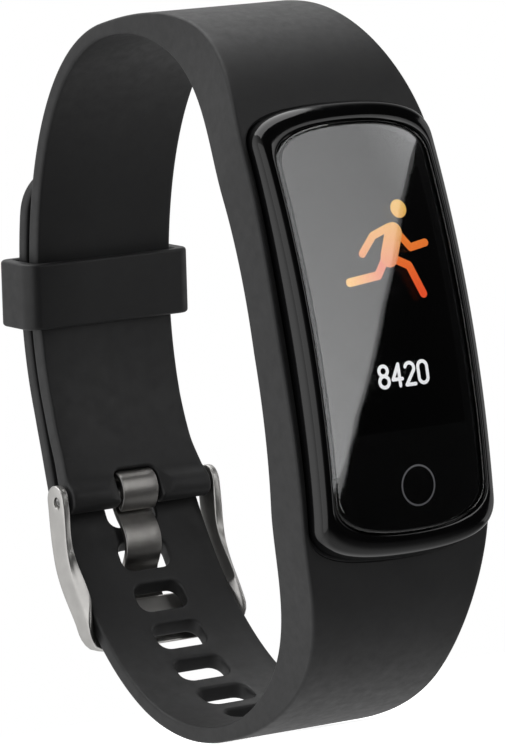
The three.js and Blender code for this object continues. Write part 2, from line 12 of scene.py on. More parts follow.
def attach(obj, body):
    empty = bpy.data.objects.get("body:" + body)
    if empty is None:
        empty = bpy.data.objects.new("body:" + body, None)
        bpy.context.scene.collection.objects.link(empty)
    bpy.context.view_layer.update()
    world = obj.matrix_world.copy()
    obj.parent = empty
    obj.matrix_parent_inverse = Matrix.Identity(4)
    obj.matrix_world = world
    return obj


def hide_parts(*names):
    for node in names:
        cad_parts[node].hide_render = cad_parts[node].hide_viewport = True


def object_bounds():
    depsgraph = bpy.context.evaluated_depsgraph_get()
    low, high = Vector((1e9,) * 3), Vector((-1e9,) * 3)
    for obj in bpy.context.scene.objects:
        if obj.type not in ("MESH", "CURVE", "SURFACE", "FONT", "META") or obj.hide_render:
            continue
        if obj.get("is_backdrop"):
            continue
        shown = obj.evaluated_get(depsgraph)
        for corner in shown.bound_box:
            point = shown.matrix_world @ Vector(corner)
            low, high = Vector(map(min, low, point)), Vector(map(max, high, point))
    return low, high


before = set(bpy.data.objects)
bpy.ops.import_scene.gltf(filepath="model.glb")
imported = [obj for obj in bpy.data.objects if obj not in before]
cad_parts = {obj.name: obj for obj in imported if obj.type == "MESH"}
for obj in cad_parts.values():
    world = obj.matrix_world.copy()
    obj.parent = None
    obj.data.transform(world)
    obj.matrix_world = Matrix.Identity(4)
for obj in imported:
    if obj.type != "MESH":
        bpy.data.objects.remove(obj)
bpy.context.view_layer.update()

MM = 0.001
scene = bpy.context.scene


# ------------------------------------------------------------------ node materials

class Shade:
    """A small wrapper that adds nodes to one material."""

    def __init__(self, name):
        self.material = bpy.data.materials.new(name)
        self.material.use_nodes = True
        self.tree = self.material.node_tree
        self.tree.nodes.clear()
        self.out = self.add("ShaderNodeOutputMaterial")
        self.coords = self.add("ShaderNodeTexCoord").outputs["Object"]

    def add(self, kind, **settings):
        node = self.tree.nodes.new(kind)
        for key, value in settings.items():
            setattr(node, key, value)
        return node

    def link(self, a, b):
        self.tree.links.new(a, b)

    def scaled(self, stretch):
        mapping = self.add("ShaderNodeMapping")
        mapping.inputs["Scale"].default_value = stretch
        self.link(self.coords, mapping.inputs["Vector"])
        return mapping.outputs["Vector"]

    def noise(self, scale, detail=2.0, rough=0.5, stretch=None):
        node = self.add("ShaderNodeTexNoise")
        node.inputs["Scale"].default_value = scale
        node.inputs["Detail"].default_value = detail
        node.inputs["Roughness"].default_value = rough
        self.link(self.scaled(stretch) if stretch else self.coords, node.inputs["Vector"])
        return node.outputs["Fac"]

    def remap(self, value, low, high, from_low=0.3, from_high=0.7):
        node = self.add("ShaderNodeMapRange")
        node.inputs["From Min"].default_value = from_low
        node.inputs["From Max"].default_value = from_high
        node.inputs["To Min"].default_value = low
        node.inputs["To Max"].default_value = high
        self.link(value, node.inputs["Value"])
        return node.outputs["Result"]

    def colours(self, value, *stops):
        node = self.add("ShaderNodeValToRGB")
        ramp = node.color_ramp
        while len(ramp.elements) < len(stops):
            ramp.elements.new(0.5)
        for element, (place, colour) in zip(ramp.elements, stops):
            element.position = place
            element.color = (*colour, 1.0)
        self.link(value, node.inputs["Fac"])
        return node.outputs["Color"]

    def bump(self, height, distance, strength=1.0, after=None):
        node = self.add("ShaderNodeBump")
        node.inputs["Distance"].default_value = distance
        node.inputs["Strength"].default_value = strength
        self.link(height, node.inputs["Height"])
        if after is not None:
            self.link(after, node.inputs["Normal"])
        return node.outputs["Normal"]

    def surface(self, color=None, rough=None, normal=None, **fixed):
        node = self.add("ShaderNodeBsdfPrincipled")
        for key, value in fixed.items():
            node.inputs[key.replace("_", " ").title().replace("Ior", "IOR")].default_value = value
        for socket, source in (("Base Color", color), ("Roughness", rough), ("Normal", normal)):
            if source is not None:
                self.link(source, node.inputs[socket])
        self.link(node.outputs["BSDF"], self.out.inputs["Surface"])
        return node


def moulded(name, dark, light, rough_low, rough_high, grain=9000.0, grain_height=4e-6, specular=0.5,
            sheen=0.0, coat=0.0):
    """Moulded rubber or plastic: blotchy tint, fine tooled grain and uneven gloss."""
    s = Shade(name)
    color = s.colours(s.noise(260.0, 4.0, 0.6), (0.3, dark), (0.72, light))
    rough = s.remap(s.noise(900.0, 3.0, 0.65), rough_low, rough_high)
    fine = s.bump(s.noise(grain, 2.0, 0.6), grain_height)
    normal = s.bump(s.noise(700.0, 2.0), 6e-6, 0.5, after=fine)
    node = s.surface(color, rough, normal, metallic=0.0, specular_ior_level=specular)
    if sheen:
        node.inputs["Sheen Weight"].default_value = sheen
        node.inputs["Sheen Roughness"].default_value = 0.4
    if coat:
        node.inputs["Coat Weight"].default_value = coat
        node.inputs["Coat Roughness"].default_value = 0.04
    return s.material


def metal(name, dark, light, rough_low, rough_high, stretch, lines=1.5e-6):
    """Brushed metal: fine lines one way, smudged gloss and slightly paler worn edges."""
    s = Shade(name)
    brushed = s.noise(1.0, 3.0, 0.7, stretch=stretch)
    tint = s.colours(s.noise(420.0, 3.0), (0.3, dark), (0.7, light))
    geometry = s.add("ShaderNodeNewGeometry")
    worn = s.remap(geometry.outputs["Pointiness"], 0.0, 0.35, 0.5, 0.6)
    mix = s.add("ShaderNodeMix", data_type="RGBA")
    s.link(worn, mix.inputs["Factor"])
    s.link(tint, mix.inputs["A"])
    mix.inputs["B"].default_value = (0.85, 0.84, 0.82, 1.0)
    rough = s.remap(brushed, rough_low, rough_high)
    s.surface(mix.outputs["Result"], rough, s.bump(brushed, lines), metallic=1.0)
    return s.material


def glass(name, tint, roughness=0.02, strength=1.0):
    """Clear cover: light passes straight through, and the polished face mirrors by Fresnel."""
    s = Shade(name)
    clear = s.add("ShaderNodeBsdfTransparent")
    clear.inputs["Color"].default_value = (*tint, 1.0)
    gloss = s.add("ShaderNodeBsdfGlossy")
    gloss.inputs["Color"].default_value = (strength, strength, strength, 1.0)
    smear = s.remap(s.noise(140.0, 3.0), roughness, roughness * 1.8)
    s.link(smear, gloss.inputs["Roughness"])
    normal = s.bump(s.noise(500.0, 2.0), 1.5e-7)
    s.link(normal, gloss.inputs["Normal"])
    fresnel = s.add("ShaderNodeFresnel")
    fresnel.inputs["IOR"].default_value = 1.5
    mix = s.add("ShaderNodeMixShader")
    s.link(fresnel.outputs["Fac"], mix.inputs["Fac"])
    s.link(clear.outputs["BSDF"], mix.inputs[1])
    s.link(gloss.outputs["BSDF"], mix.inputs[2])
    s.link(mix.outputs["Shader"], s.out.inputs["Surface"])
    return s.material


def lit_picture(name, bottom, top, low, high, strength=1.0, axis="Z"):
    """Lit display pixels, also the painted glow on the touch key's printed ring: a glow that changes from one
    place to another, with a fine pixel grid.
    """
    s = Shade(name)
    split = s.add("ShaderNodeSeparateXYZ")
    s.link(s.coords, split.inputs["Vector"])
    along = s.remap(split.outputs[axis], 0.0, 1.0, bottom * MM, top * MM)
    color = s.colours(along, (0.0, low), (1.0, high))
    pixels = s.remap(s.noise(9000.0), 0.93, 1.0)
    mix = s.add("ShaderNodeMix", data_type="RGBA", blend_type="MULTIPLY")
    mix.inputs["Factor"].default_value = 1.0
    s.link(color, mix.inputs["A"])
    s.link(pixels, mix.inputs["B"])
    node = s.surface(None, None, None, roughness=0.6)
    node.inputs["Base Color"].default_value = (0.0, 0.0, 0.0, 1.0)
    node.inputs["Specular IOR Level"].default_value = 0.0
    s.link(mix.outputs["Result"], node.inputs["Emission Color"])
    node.inputs["Emission Strength"].default_value = strength
    return s.material


SILICONE = moulded("silicone", (0.0105, 0.0105, 0.011), (0.0155, 0.0155, 0.016), 0.46, 0.58,
                   grain=11000.0, grain_height=3.0e-6, specular=0.5, sheen=0.03)
CASE_GLOSS = moulded("gloss_case", (0.0022, 0.0022, 0.0024), (0.004, 0.004, 0.0043), 0.07, 0.13,
                     grain=3000.0, grain_height=4e-7)
BLACK_PLASTIC = moulded("black_plastic", (0.012, 0.012, 0.0125), (0.018, 0.018, 0.0185), 0.42, 0.56,
                        grain=7000.0, grain_height=6e-6)
FOAM = moulded("foam_tape", (0.014, 0.014, 0.014), (0.03, 0.03, 0.03), 0.8, 0.95, grain=5000.0,
               grain_height=2e-5)
STEEL_PLATE = metal("steel_satin", (0.5, 0.49, 0.475), (0.6, 0.59, 0.57), 0.34, 0.44,
                    (5000.0, 5000.0, 5000.0), 4e-7)
STEEL_TONGUE = metal("steel_brushed", (0.28, 0.27, 0.26), (0.36, 0.35, 0.335), 0.34, 0.44,
                     (6000.0, 300.0, 300.0), 3.5e-7)
STEEL_DARK = metal("steel_dark", (0.12, 0.12, 0.12), (0.18, 0.18, 0.18), 0.25, 0.4, (3000.0, 3000.0, 3000.0))
HEAVY_METAL = metal("heavy_metal", (0.2, 0.2, 0.21), (0.3, 0.3, 0.31), 0.4, 0.6, (4000.0, 4000.0, 4000.0),
                    6e-6)
CELL_FOIL = metal("cell_foil", (0.5, 0.51, 0.53), (0.66, 0.67, 0.69), 0.25, 0.45, (900.0, 900.0, 900.0), 1e-5)
GOLD = metal("gold", (0.72, 0.46, 0.14), (0.86, 0.6, 0.24), 0.16, 0.3, (3000.0, 3000.0, 3000.0))
INK = moulded("ink_border", (0.0012, 0.0012, 0.0013), (0.002, 0.002, 0.0021), 0.4, 0.55, grain=4000.0,
              grain_height=5e-7, specular=0.05)
DISPLAY = moulded("display_face", (0.0004, 0.0004, 0.0005), (0.0008, 0.0008, 0.0009), 0.3, 0.4, grain=9000.0,
                  grain_height=3e-7, specular=0.0)
GLASS = glass("cover_glass", (0.97, 0.975, 0.98))
SENSOR_GLASS = glass("sensor_lens", (0.12, 0.12, 0.14), 0.05)
# The touch key's ring is real print; its glow, brighter towards the top, is painted light.
KEY_PRINT_PAINTED_GLOW = lit_picture("key_ring", -16.6, -12.8, (0.075, 0.075, 0.08), (0.1, 0.1, 0.105))
FIGURE_UPPER = lit_picture("figure_upper", 6.3, 11.8, (0.86, 0.3, 0.14), (0.93, 0.55, 0.13))
FIGURE_LEG = lit_picture("figure_front", 3.2, 9.5, (0.93, 0.1, 0.03), (0.93, 0.26, 0.04))
FIGURE_REAR = lit_picture("figure_rear", -3.5, 0.4, (0.95, 0.55, 0.17), (0.85, 0.26, 0.16), axis="X")
DIGITS = lit_picture("digits_white", -6.0, -3.0, (0.9, 0.9, 0.92), (1.0, 1.0, 1.0))
BACKLIGHT = moulded("backlight_white", (0.66, 0.68, 0.71), (0.76, 0.78, 0.81), 0.4, 0.55)
FLEX = moulded("flex_amber", (0.36, 0.12, 0.02), (0.5, 0.2, 0.04), 0.25, 0.4)
BOARD = moulded("board_green", (0.012, 0.08, 0.03), (0.03, 0.14, 0.06), 0.25, 0.45)
CHIP = moulded("chip_black", (0.012, 0.012, 0.013), (0.022, 0.022, 0.023), 0.45, 0.65, grain_height=8e-6)
CERAMIC = moulded("ceramic", (0.55, 0.51, 0.44), (0.68, 0.63, 0.55), 0.5, 0.7)
LED = moulded("led_green", (0.07, 0.5, 0.16), (0.12, 0.66, 0.24), 0.1, 0.2, coat=0.4)



# ------------------------------------------------------------------ mesh tools, in millimetres

def bezier(points, count):
    t = np.linspace(0.0, 1.0, count)[:, None]
    p0, p1, p2, p3 = (np.array(p, float) for p in points)
    return (1 - t) ** 3 * p0 + 3 * (1 - t) ** 2 * t * p1 + 3 * (1 - t) * t * t * p2 + t ** 3 * p3


def arc(cx, cy, radius, start, stop, count):
    a = np.radians(np.linspace(start, stop, count))
    return np.stack([cx + radius * np.cos(a), cy + radius * np.sin(a)], 1)


def smooth_line(keys, per_span=10):
    """A Catmull-Rom line through key points of any dimension."""
    p = np.array(keys, float)
    p = np.vstack([2 * p[0] - p[1], p, 2 * p[-1] - p[-2]])
    out = []
    for i in range(1, len(p) - 2):
        for t in np.linspace(0, 1, per_span, endpoint=False):
            a, b, c, d = p[i - 1], p[i], p[i + 1], p[i + 2]
            out.append(0.5 * (2 * b + (c - a) * t + (2 * a - 5 * b + 4 * c - d) * t * t
                              + (3 * b - a - 3 * c + d) * t ** 3))
    out.append(p[-2])
    return np.array(out)


def loop_normals(loop):
    """Unit normals to the right of the way a closed loop runs."""
    edge = np.roll(loop, -1, 0) - loop
    right = np.stack([edge[:, 1], -edge[:, 0]], 1)
    right /= np.maximum(np.linalg.norm(right, axis=1), 1e-9)[:, None]
    normal = right + np.roll(right, 1, 0)
    return normal / np.maximum(np.linalg.norm(normal, axis=1), 1e-9)[:, None]


def inside(points, loop):
    x, y = points[:, 0][:, None], points[:, 1][:, None]
    a, b = loop, np.roll(loop, -1, 0)
    crosses = (a[:, 1] > y) != (b[:, 1] > y)
    rise = np.where(np.abs(b[:, 1] - a[:, 1]) < 1e-12, 1e-12, b[:, 1] - a[:, 1])
    at = a[:, 0] + (y - a[:, 1]) * (b[:, 0] - a[:, 0]) / rise
    return (np.sum(crosses & (x < at), 1) % 2) == 1


class Sheet:
    """A bent sheet between two face lines. Its flat places are (across, along)."""

    def __init__(self, inner, outer, stand):
        self.inner, self.outer, self.stand = inner, outer, stand
        steps = np.linalg.norm(np.diff((inner + outer) / 2, axis=0), axis=1)
        self.run = np.append(0.0, np.cumsum(steps))
        self.length = self.run[-1]

    def at(self, line, along):
        return np.stack([np.interp(along, self.run, line[:, 0]), np.interp(along, self.run, line[:, 1])], 1)

    def thickness(self, along):
        return np.linalg.norm(self.at(self.outer, along) - self.at(self.inner, along), axis=1)

    def place(self, flat, depth=0.0, outside=True):
        """Flat places put in space, a depth below one of the two faces."""
        flat = np.asarray(flat, float)
        inner, outer = self.at(self.inner, flat[:, 1]), self.at(self.outer, flat[:, 1])
        start, stop = (outer, inner) if outside else (inner, outer)
        share = depth / np.linalg.norm(outer - inner, axis=1)[:, None]
        return self.stand(flat[:, 0], start + (stop - start) * share)


def across_x(across, line):
    return np.column_stack([across, line])


def across_y(across, line):
    return np.column_stack([line[:, 0], across, line[:, 1]])


def fillet(radius, count=4):
    """(outward, down) steps of a quarter round, from the flat face to the side wall."""
    a = np.radians(np.linspace(0, 90, count + 1))
    return [(radius * math.sin(x), radius * (1 - math.cos(x))) for x in a]


class Shell:
    """Collects the points and faces of closed surfaces, in millimetres."""

    def __init__(self):
        self.points = []
        self.faces = []
        self.tags = []

    def add(self, points):
        first = len(self.points)
        self.points.extend(np.asarray(points, float).tolist())
        return list(range(first, len(self.points)))

    def face(self, corners, tag=0):
        self.faces.append(corners)
        self.tags.append(tag)

    def strip(self, a, b, tag=0):
        count = len(a)
        for i in range(count):
            j = (i + 1) % count
            self.face([a[i], a[j], b[j], b[i]], tag)

    def rings(self, rings, tag=0, close=False):
        """Joins closed loops of points one after another and returns the loops' numbers."""
        loops = [self.add(ring) for ring in rings]
        for a, b in zip(loops, loops[1:] + loops[:1] if close else loops[1:]):
            self.strip(a, b, tag)
        return loops

    def cap(self, ids, tag=0):
        """Closes a loop with a fan round its middle point."""
        middle = self.add([np.mean([self.points[i] for i in ids], axis=0)])[0]
        for i, j in zip(ids, ids[1:] + ids[:1]):
            self.face([i, j, middle], tag)

    def patch(self, loops, numbers, step, place, tag=0):
        """Fills flat loops, the first less the others, with a net whose points place() puts in space."""
        border = np.vstack(loops)
        ids = [n for group in numbers for n in group]
        tree = KDTree(len(border))
        for i, p in enumerate(border):
            tree.insert((p[0], p[1], 0.0), i)
        tree.balance()
        lo, hi = border.min(0), border.max(0)
        columns = np.arange(lo[0] + step[0] / 2, hi[0], step[0])
        rows = np.arange(lo[1] + step[1] / 2, hi[1], step[1])
        net = np.array([(x, y) for y in rows for x in columns]).reshape(-1, 2)

        def within(points):
            ok = inside(points, loops[0])
            for hole in loops[1:]:
                ok &= ~inside(points, hole)
            return ok

        net = net[within(net)] if len(net) else net
        gap = 0.45 * min(step)
        net = np.array([p for p in net if tree.find((p[0], p[1], 0.0))[2] > gap]).reshape(-1, 2)
        edges, start = [], 0
        for loop in loops:
            n = len(loop)
            edges += [(start + i, start + (i + 1) % n) for i in range(n)]
            start += n
        found = delaunay_2d_cdt([Vector(p) for p in np.vstack([border, net])], edges, [], 0, 1e-7)
        flat = np.array([(p.x, p.y) for p in found[0]])
        triangles = np.array([t[:] for t in found[2]])
        triangles = triangles[within(flat[triangles].mean(1))]
        number = {}
        for k, sources in enumerate(found[3]):
            on_border = [i for i in sources if i < len(border)]
            if on_border:
                number[k] = ids[on_border[0]]
        fresh = [k for k in sorted(set(triangles.ravel().tolist())) if k not in number]
        if fresh:
            number.update(zip(fresh, self.add(place(flat[fresh]))))
        for triangle in triangles:
            self.face([number[k] for k in triangle], tag)

    def bent_plate(self, sheet, borders, step, opening=None):
        """A sheet cut to borders, each (loop, edge radius), outline first and holes clockwise."""
        flats, tops, bottoms = [], [], []
        for loop, radius in borders:
            normal = loop_normals(loop)
            turns = fillet(radius)
            top = self.rings([sheet.place(loop - normal * (radius - out), down) for out, down in turns])
            bottom = self.rings([sheet.place(loop - normal * (radius - out), down, False)
                                 for out, down in turns[::-1]])
            wall = (sheet.thickness(loop[:, 1]) - 2 * radius)[:, None]
            middle = [self.add(sheet.place(loop, radius + wall * share)) for share in (0.33, 0.67)]
            for a, b in zip([top[-1], *middle], [*middle, bottom[0]]):
                self.strip(a, b)
            flats.append(loop - normal * radius)
            tops.append(top[0])
            bottoms.append(bottom[-1])
        for outside, numbers in ((True, tops), (False, bottoms)):
            loops, ids = list(flats), list(numbers)
            if opening:
                loops.append(opening[outside][0])
                ids.append(opening[outside][1])
            self.patch(loops, ids, step, lambda p, side=outside: sheet.place(p, 0.0, side))

    def build(self, name, body, material, slot, *replaced, sharp=50):
        mesh = bpy.data.meshes.new(name)
        mesh.from_pydata((np.array(self.points) * MM).tolist(), [], self.faces)
        for each in material if isinstance(material, list) else [material]:
            mesh.materials.append(each)
        mesh.polygons.foreach_set("material_index", self.tags)
        tidy = bmesh.new()
        tidy.from_mesh(mesh)
        bmesh.ops.recalc_face_normals(tidy, faces=tidy.faces)
        tidy.to_mesh(mesh)
        tidy.free()
        mesh.polygons.foreach_set("use_smooth", [True] * len(mesh.polygons))
        mesh.set_sharp_from_angle(angle=math.radians(sharp))
        obj = bpy.data.objects.new(name, mesh)
        scene.collection.objects.link(obj)
        weigh = obj.modifiers.new("even_normals", "WEIGHTED_NORMAL")
        weigh.keep_sharp = True
        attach(obj, body)
        if replaced:
            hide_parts(*replaced)
        return obj


# ------------------------------------------------------------------ outlines

def rounded_box(half_x, half_y, corner, cx=0.0, cy=0.0, per_corner=8):
    """Counter-clockwise rounded rectangle."""
    x, y = half_x - corner, half_y - corner
    return np.vstack([arc(cx + sx * x, cy + sy * y, corner, start, start + 90, per_corner)
                      for sx, sy, start in ((1, 1, 0), (-1, 1, 90), (-1, -1, 180), (1, -1, 270))])


def circle(cx, cy, radius, count=32):
    return arc(cx, cy, radius, 0, 360, count + 1)[:-1]


def dense(loop, step):
    """The same closed loop with no edge longer than a step."""
    out = []
    for a, b in zip(loop, np.roll(loop, -1, 0)):
        n = max(1, int(np.ceil(np.linalg.norm(b - a) / step)))
        out += [a + (b - a) * i / n for i in range(n)]
    return np.array(out)


def smoothstep(x, low, high):
    t = np.clip((x - low) / (high - low), 0.0, 1.0)
    return t * t * (3 - 2 * t)


MODULE_Z = 0.7


def module_outline(half_width, half_length, per_end=26, per_side=48):
    """Counter-clockwise outline of the module in (X, Z), with the same points at every size."""
    side = half_length - 3.8
    top = bezier([(half_width, side), (half_width, half_length - 1.0), (half_width - 3.2, half_length),
                  (0, half_length)], per_end)
    right = np.column_stack([np.full(per_side, half_width), np.linspace(-side, side, per_side)])[:-1]
    half = np.vstack([right, top[:-1], (top * [-1, 1])[::-1][:-1]])
    return np.vstack([half, -half]) + [0, MODULE_Z]


def upright(loop, y):
    """A loop drawn in (X, Z), stood up at a depth y, which may differ from point to point."""
    return np.column_stack([loop[:, 0], np.broadcast_to(y, len(loop)), loop[:, 1]])


# ------------------------------------------------------------------ strap

BAR = np.array([21.0, -9.25])
BAR_RADIUS = 1.5
UP_STRAP = np.array([0.26, 0.9656])
OUT_STRAP = np.array([0.9656, -0.26])

# The strap's side view in (Y, Z): how far the wrist opening reaches, how thick the strap is, and how high
# its front and back bulge.
OPENING_FRONT, OPENING_BACK, OPENING_HALF_HEIGHT = -21.6, 21.7, 34.0
OUTER_FRONT = -26.2
SHORT_THICKNESS, CROWN_THICKNESS, SOLE_THICKNESS, LONG_THICKNESS = 1.85, 1.55, 1.6, 1.5
HALVES_GAP = 0.4
BACK_HEIGHT, FRONT_HEIGHT, OUTER_FRONT_HEIGHT = 1.5, 3.0, 3.9


def quarter(upright, level, upright_fullness, level_fullness):
    """A quarter of a rounded outline; 0.55 for both kinds of fullness is a quarter of an ellipse."""
    return [upright, (upright[0], upright[1] + upright_fullness * (level[1] - upright[1])),
            (level[0] + level_fullness * (upright[0] - level[0]), level[1]), level]


def strap_spans():
    """Inner and outer curves, from the bar up the short half, round, and up the long half to its tip."""
    crown, outer_crown = (0.0, OPENING_HALF_HEIGHT), (0.0, OPENING_HALF_HEIGHT + CROWN_THICKNESS)
    sole, outer_sole = (0.0, -OPENING_HALF_HEIGHT), (0.0, -OPENING_HALF_HEIGHT - SOLE_THICKNESS)
    front, outer_front = (OPENING_FRONT, FRONT_HEIGHT), (OUTER_FRONT, OUTER_FRONT_HEIGHT)
    short, outer_short = (OPENING_BACK, BACK_HEIGHT), (OPENING_BACK + SHORT_THICKNESS, BACK_HEIGHT)
    long = (outer_short[0] + HALVES_GAP, BACK_HEIGHT)
    outer_long = (long[0] + LONG_THICKNESS, BACK_HEIGHT)
    return [
        ([(20.55, -7.26), (21.35, -4.4), (OPENING_BACK, -2.2), short],
         [(22.39, -7.76), (23.15, -4.9), (23.5, -2.0), outer_short]),
        (quarter(short, crown, 0.44, 0.6), quarter(outer_short, outer_crown, 0.4, 0.63)),
        (quarter(front, crown, 0.5, 0.75)[::-1], quarter(outer_front, outer_crown, 0.65, 0.91)[::-1]),
        (quarter(front, sole, 0.5, 0.75), quarter(outer_front, outer_sole, 0.6, 0.92)),
        (quarter(long, sole, 0.58, 0.6)[::-1], quarter(outer_long, outer_sole, 0.6, 0.58)[::-1]),
        ([long, (long[0], 10.0), (20.75, 20.0), (17.4, 24.2)],
         [outer_long, (outer_long[0], 9.5), (22.4, 19.9), (18.6, 25.0)]),
    ]


STRAP_EDGE = 0.33
HOLE_EDGE = 0.26
HOLE_PITCH = 4.8
HOLES_BELOW, HOLES_ABOVE = 6, 5
TIP = 5.6
SLOT_END = 3.7
SLOT_HALF = 2.5
CRADLE_HALF = 10.79
BACK_HALF = 7.75
BEND_EXTRA = 0.55
BAR_FLARE = 0.36
HOLED_EXTRA = 0.38


def bar_ribs():
    """The round bar at the buckle end, opening smoothly into the flat strap."""
    round_end, flat_start, flat_half, slope = 23.6, 1.8, 0.953, -0.44
    turn = np.radians(np.linspace(76.7, -round_end, 34))
    along, half = -BAR_RADIUS * np.sin(turn), BAR_RADIUS * np.cos(turn)
    reach = flat_start - along[-1]
    t = np.linspace(0, 1, 14)[1:-1]
    opened = ((2 * t ** 3 - 3 * t ** 2 + 1) * half[-1] + (t ** 3 - 2 * t ** 2 + t) * slope * reach
              + (3 * t ** 2 - 2 * t ** 3) * flat_half)
    along, half = np.append(along, along[-1] + reach * t), np.append(half, opened)
    middle = BAR + along[:, None] * UP_STRAP
    return middle - half[:, None] * OUT_STRAP, middle + half[:, None] * OUT_STRAP


def strap_sheet():
    inner, outer = bar_ribs()
    for inner_points, outer_points in strap_spans():
        inner = np.vstack([inner, bezier(inner_points, 160)[1:]])
        outer = np.vstack([outer, bezier(outer_points, 160)[1:]])
    return Sheet(inner, outer, across_x)


def strap_half_width(sheet, along):
    """Widest beside the module, narrower past each end of it, and narrowest at the back."""
    p = sheet.at(sheet.inner, along)
    turn = np.abs(np.degrees(np.arctan2(p[:, 1], -p[:, 0])))
    slender = BACK_HALF + BEND_EXTRA * (180 - turn) / 100
    slender = slender + BAR_FLARE * (1 - smoothstep(along, 2.2, 6.5))
    holed = smoothstep(along, sheet.length - 76, sheet.length - 60) * (1 - smoothstep(p[:, 1], -12, -2))
    slender = slender + HOLED_EXTRA * holed * (p[:, 0] > 0)
    return slender + (CRADLE_HALF - BACK_HALF - 1.44 * BEND_EXTRA) * (1 - smoothstep(turn, 36, 70))


def strap_outline(sheet):
    corner, slot_corner = 0.4, 0.9
    tip_start = sheet.length - TIP
    half = float(strap_half_width(sheet, np.array([0.5]))[0])
    tip_half = float(strap_half_width(sheet, np.array([tip_start]))[0])
    sides = np.arange(0.9, tip_start, 0.55)
    right = np.column_stack([strap_half_width(sheet, sides), sides])
    a = np.radians(np.linspace(0, 180, 61))
    power = 2 / 2.6
    tip = np.column_stack([np.sign(np.cos(a)) * np.abs(np.cos(a)) ** power * tip_half,
                           tip_start + TIP * np.abs(np.sin(a)) ** power])
    slot = [arc(-SLOT_HALF - corner, corner, corner, -90, 0, 5),
            arc(slot_corner - SLOT_HALF, SLOT_END - slot_corner, slot_corner, 180, 90, 8),
            arc(SLOT_HALF - slot_corner, SLOT_END - slot_corner, slot_corner, 90, 0, 8),
            arc(SLOT_HALF + corner, corner, corner, 180, 270, 5)]
    return np.vstack([arc(half - corner, corner, corner, -90, 0, 6), right, tip, right[::-1] * [-1, 1],
                      arc(corner - half, corner, corner, 180, 270, 6), *slot])


def hole_places(sheet):
    """Distances along the strap of its holes, counted from the one that the tongue uses."""
    first_height = -15.7
    inner = sheet.inner
    inner_run = np.append(0.0, np.cumsum(np.linalg.norm(np.diff(inner, axis=0), axis=1)))
    long_half = (sheet.run > 100) & (inner[:, 0] > 18)
    first = np.argmin(np.abs(inner[:, 1] - first_height) + 100 * ~long_half)
    wanted = inner_run[first] + HOLE_PITCH * np.arange(-HOLES_BELOW, HOLES_ABOVE + 1)
    return np.interp(wanted, inner_run, sheet.run)


def cradle(shell, sheet):
    """The recess for the bezel and the pocket for the module's body, as one stepped well."""
    recess_floor, rim, inner_rim = -24.2, 0.14, 0.3
    recess, pocket = module_outline(10.12, 21.82), module_outline(9.12, 20.52)
    middle = (sheet.inner + sheet.outer) / 2
    front = (sheet.run > 60) & (middle[:, 0] < 0) & (np.abs(middle[:, 1]) < 30)

    def flat(loop, line):
        order = np.argsort(line[front][:, 1])
        return np.column_stack([loop[:, 0],
                                np.interp(loop[:, 1], line[front][order, 1], sheet.run[front][order])])

    outer_loop, inner_loop = flat(recess, sheet.outer), flat(pocket, sheet.inner)
    outward, inward = -loop_normals(outer_loop), -loop_normals(inner_loop)
    top = [sheet.place(outer_loop + outward * (rim - out), down) for out, down in fillet(rim)]
    bottom = [sheet.place(inner_loop + inward * (inner_rim - out), down, False)
              for out, down in fillet(inner_rim)[::-1]]
    ids = shell.rings(top + [upright(recess, recess_floor), upright(pocket, recess_floor)] + bottom)
    return {True: (outer_loop + outward * rim, ids[0]), False: (inner_loop + inward * inner_rim, ids[-1])}


def build_strap():
    sheet, shell = strap_sheet(), Shell()
    borders = [(strap_outline(sheet), STRAP_EDGE)]
    hole_half_width, hole_half_length, hole_corner = 2.85, 1.65, 1.2
    for along in hole_places(sheet):
        slot = dense(rounded_box(hole_half_width, hole_half_length, hole_corner, 0.0, along), 0.4)
        borders.append((slot[::-1], HOLE_EDGE))
    shell.bent_plate(sheet, borders, (1.25, 0.55), cradle(shell, sheet))
    shell.build("silicone_strap", "strap", SILICONE, "silicone", "strap")


# ------------------------------------------------------------------ keeper

def split_sides(loop, parts=6, longest=1.5):
    """The same loop with each long straight edge cut into equal parts."""
    out = []
    for a, b in zip(loop, np.roll(loop, -1, 0)):
        n = parts if np.linalg.norm(b - a) > longest else 1
        out += [a + (b - a) * i / n for i in range(n)]
    return np.array(out)


def build_keeper():
    half_x, half_y, half_height, edge = 9.75, 3.2, 3.35, 0.34
    side_wall, face_wall, outer_corner, inner_corner = 1.45, 0.9, 1.5, 0.5
    place = Matrix.Translation((0, 22.23, 12.0)) @ Matrix.Rotation(math.radians(14.5), 4, "X")

    def wall(inner, inset, height):
        """A level loop on the outer or inner wall, drawn back into the material by an inset."""
        if inner:
            inner_x, inner_y = half_x - side_wall + inset, half_y - face_wall + inset
            box = rounded_box(inner_x, inner_y, inner_corner + inset, per_corner=12)
        else:
            box = rounded_box(half_x - inset, half_y - inset, outer_corner - inset, per_corner=12)
        loop = split_sides(box)
        return [place @ Vector((x, y, height)) for x, y in loop]

    turns = fillet(edge)
    levels = np.linspace(edge - half_height, half_height - edge, 6)
    rings = [wall(False, 0.0, z) for z in levels]
    rings += [wall(False, edge - out, half_height - down) for out, down in turns[-2::-1]]
    rings += [wall(True, edge - out, half_height - down) for out, down in turns[:-1]]
    rings += [wall(True, 0.0, z) for z in levels[::-1]]
    rings += [wall(True, edge - out, down - half_height) for out, down in turns[-2::-1]]
    rings += [wall(False, edge - out, down - half_height) for out, down in turns[:-1]]
    shell = Shell()
    shell.rings(rings, close=True)
    shell.build("keeper_band", "keeper", SILICONE, "silicone", "keeper_loop")


# ------------------------------------------------------------------ buckle

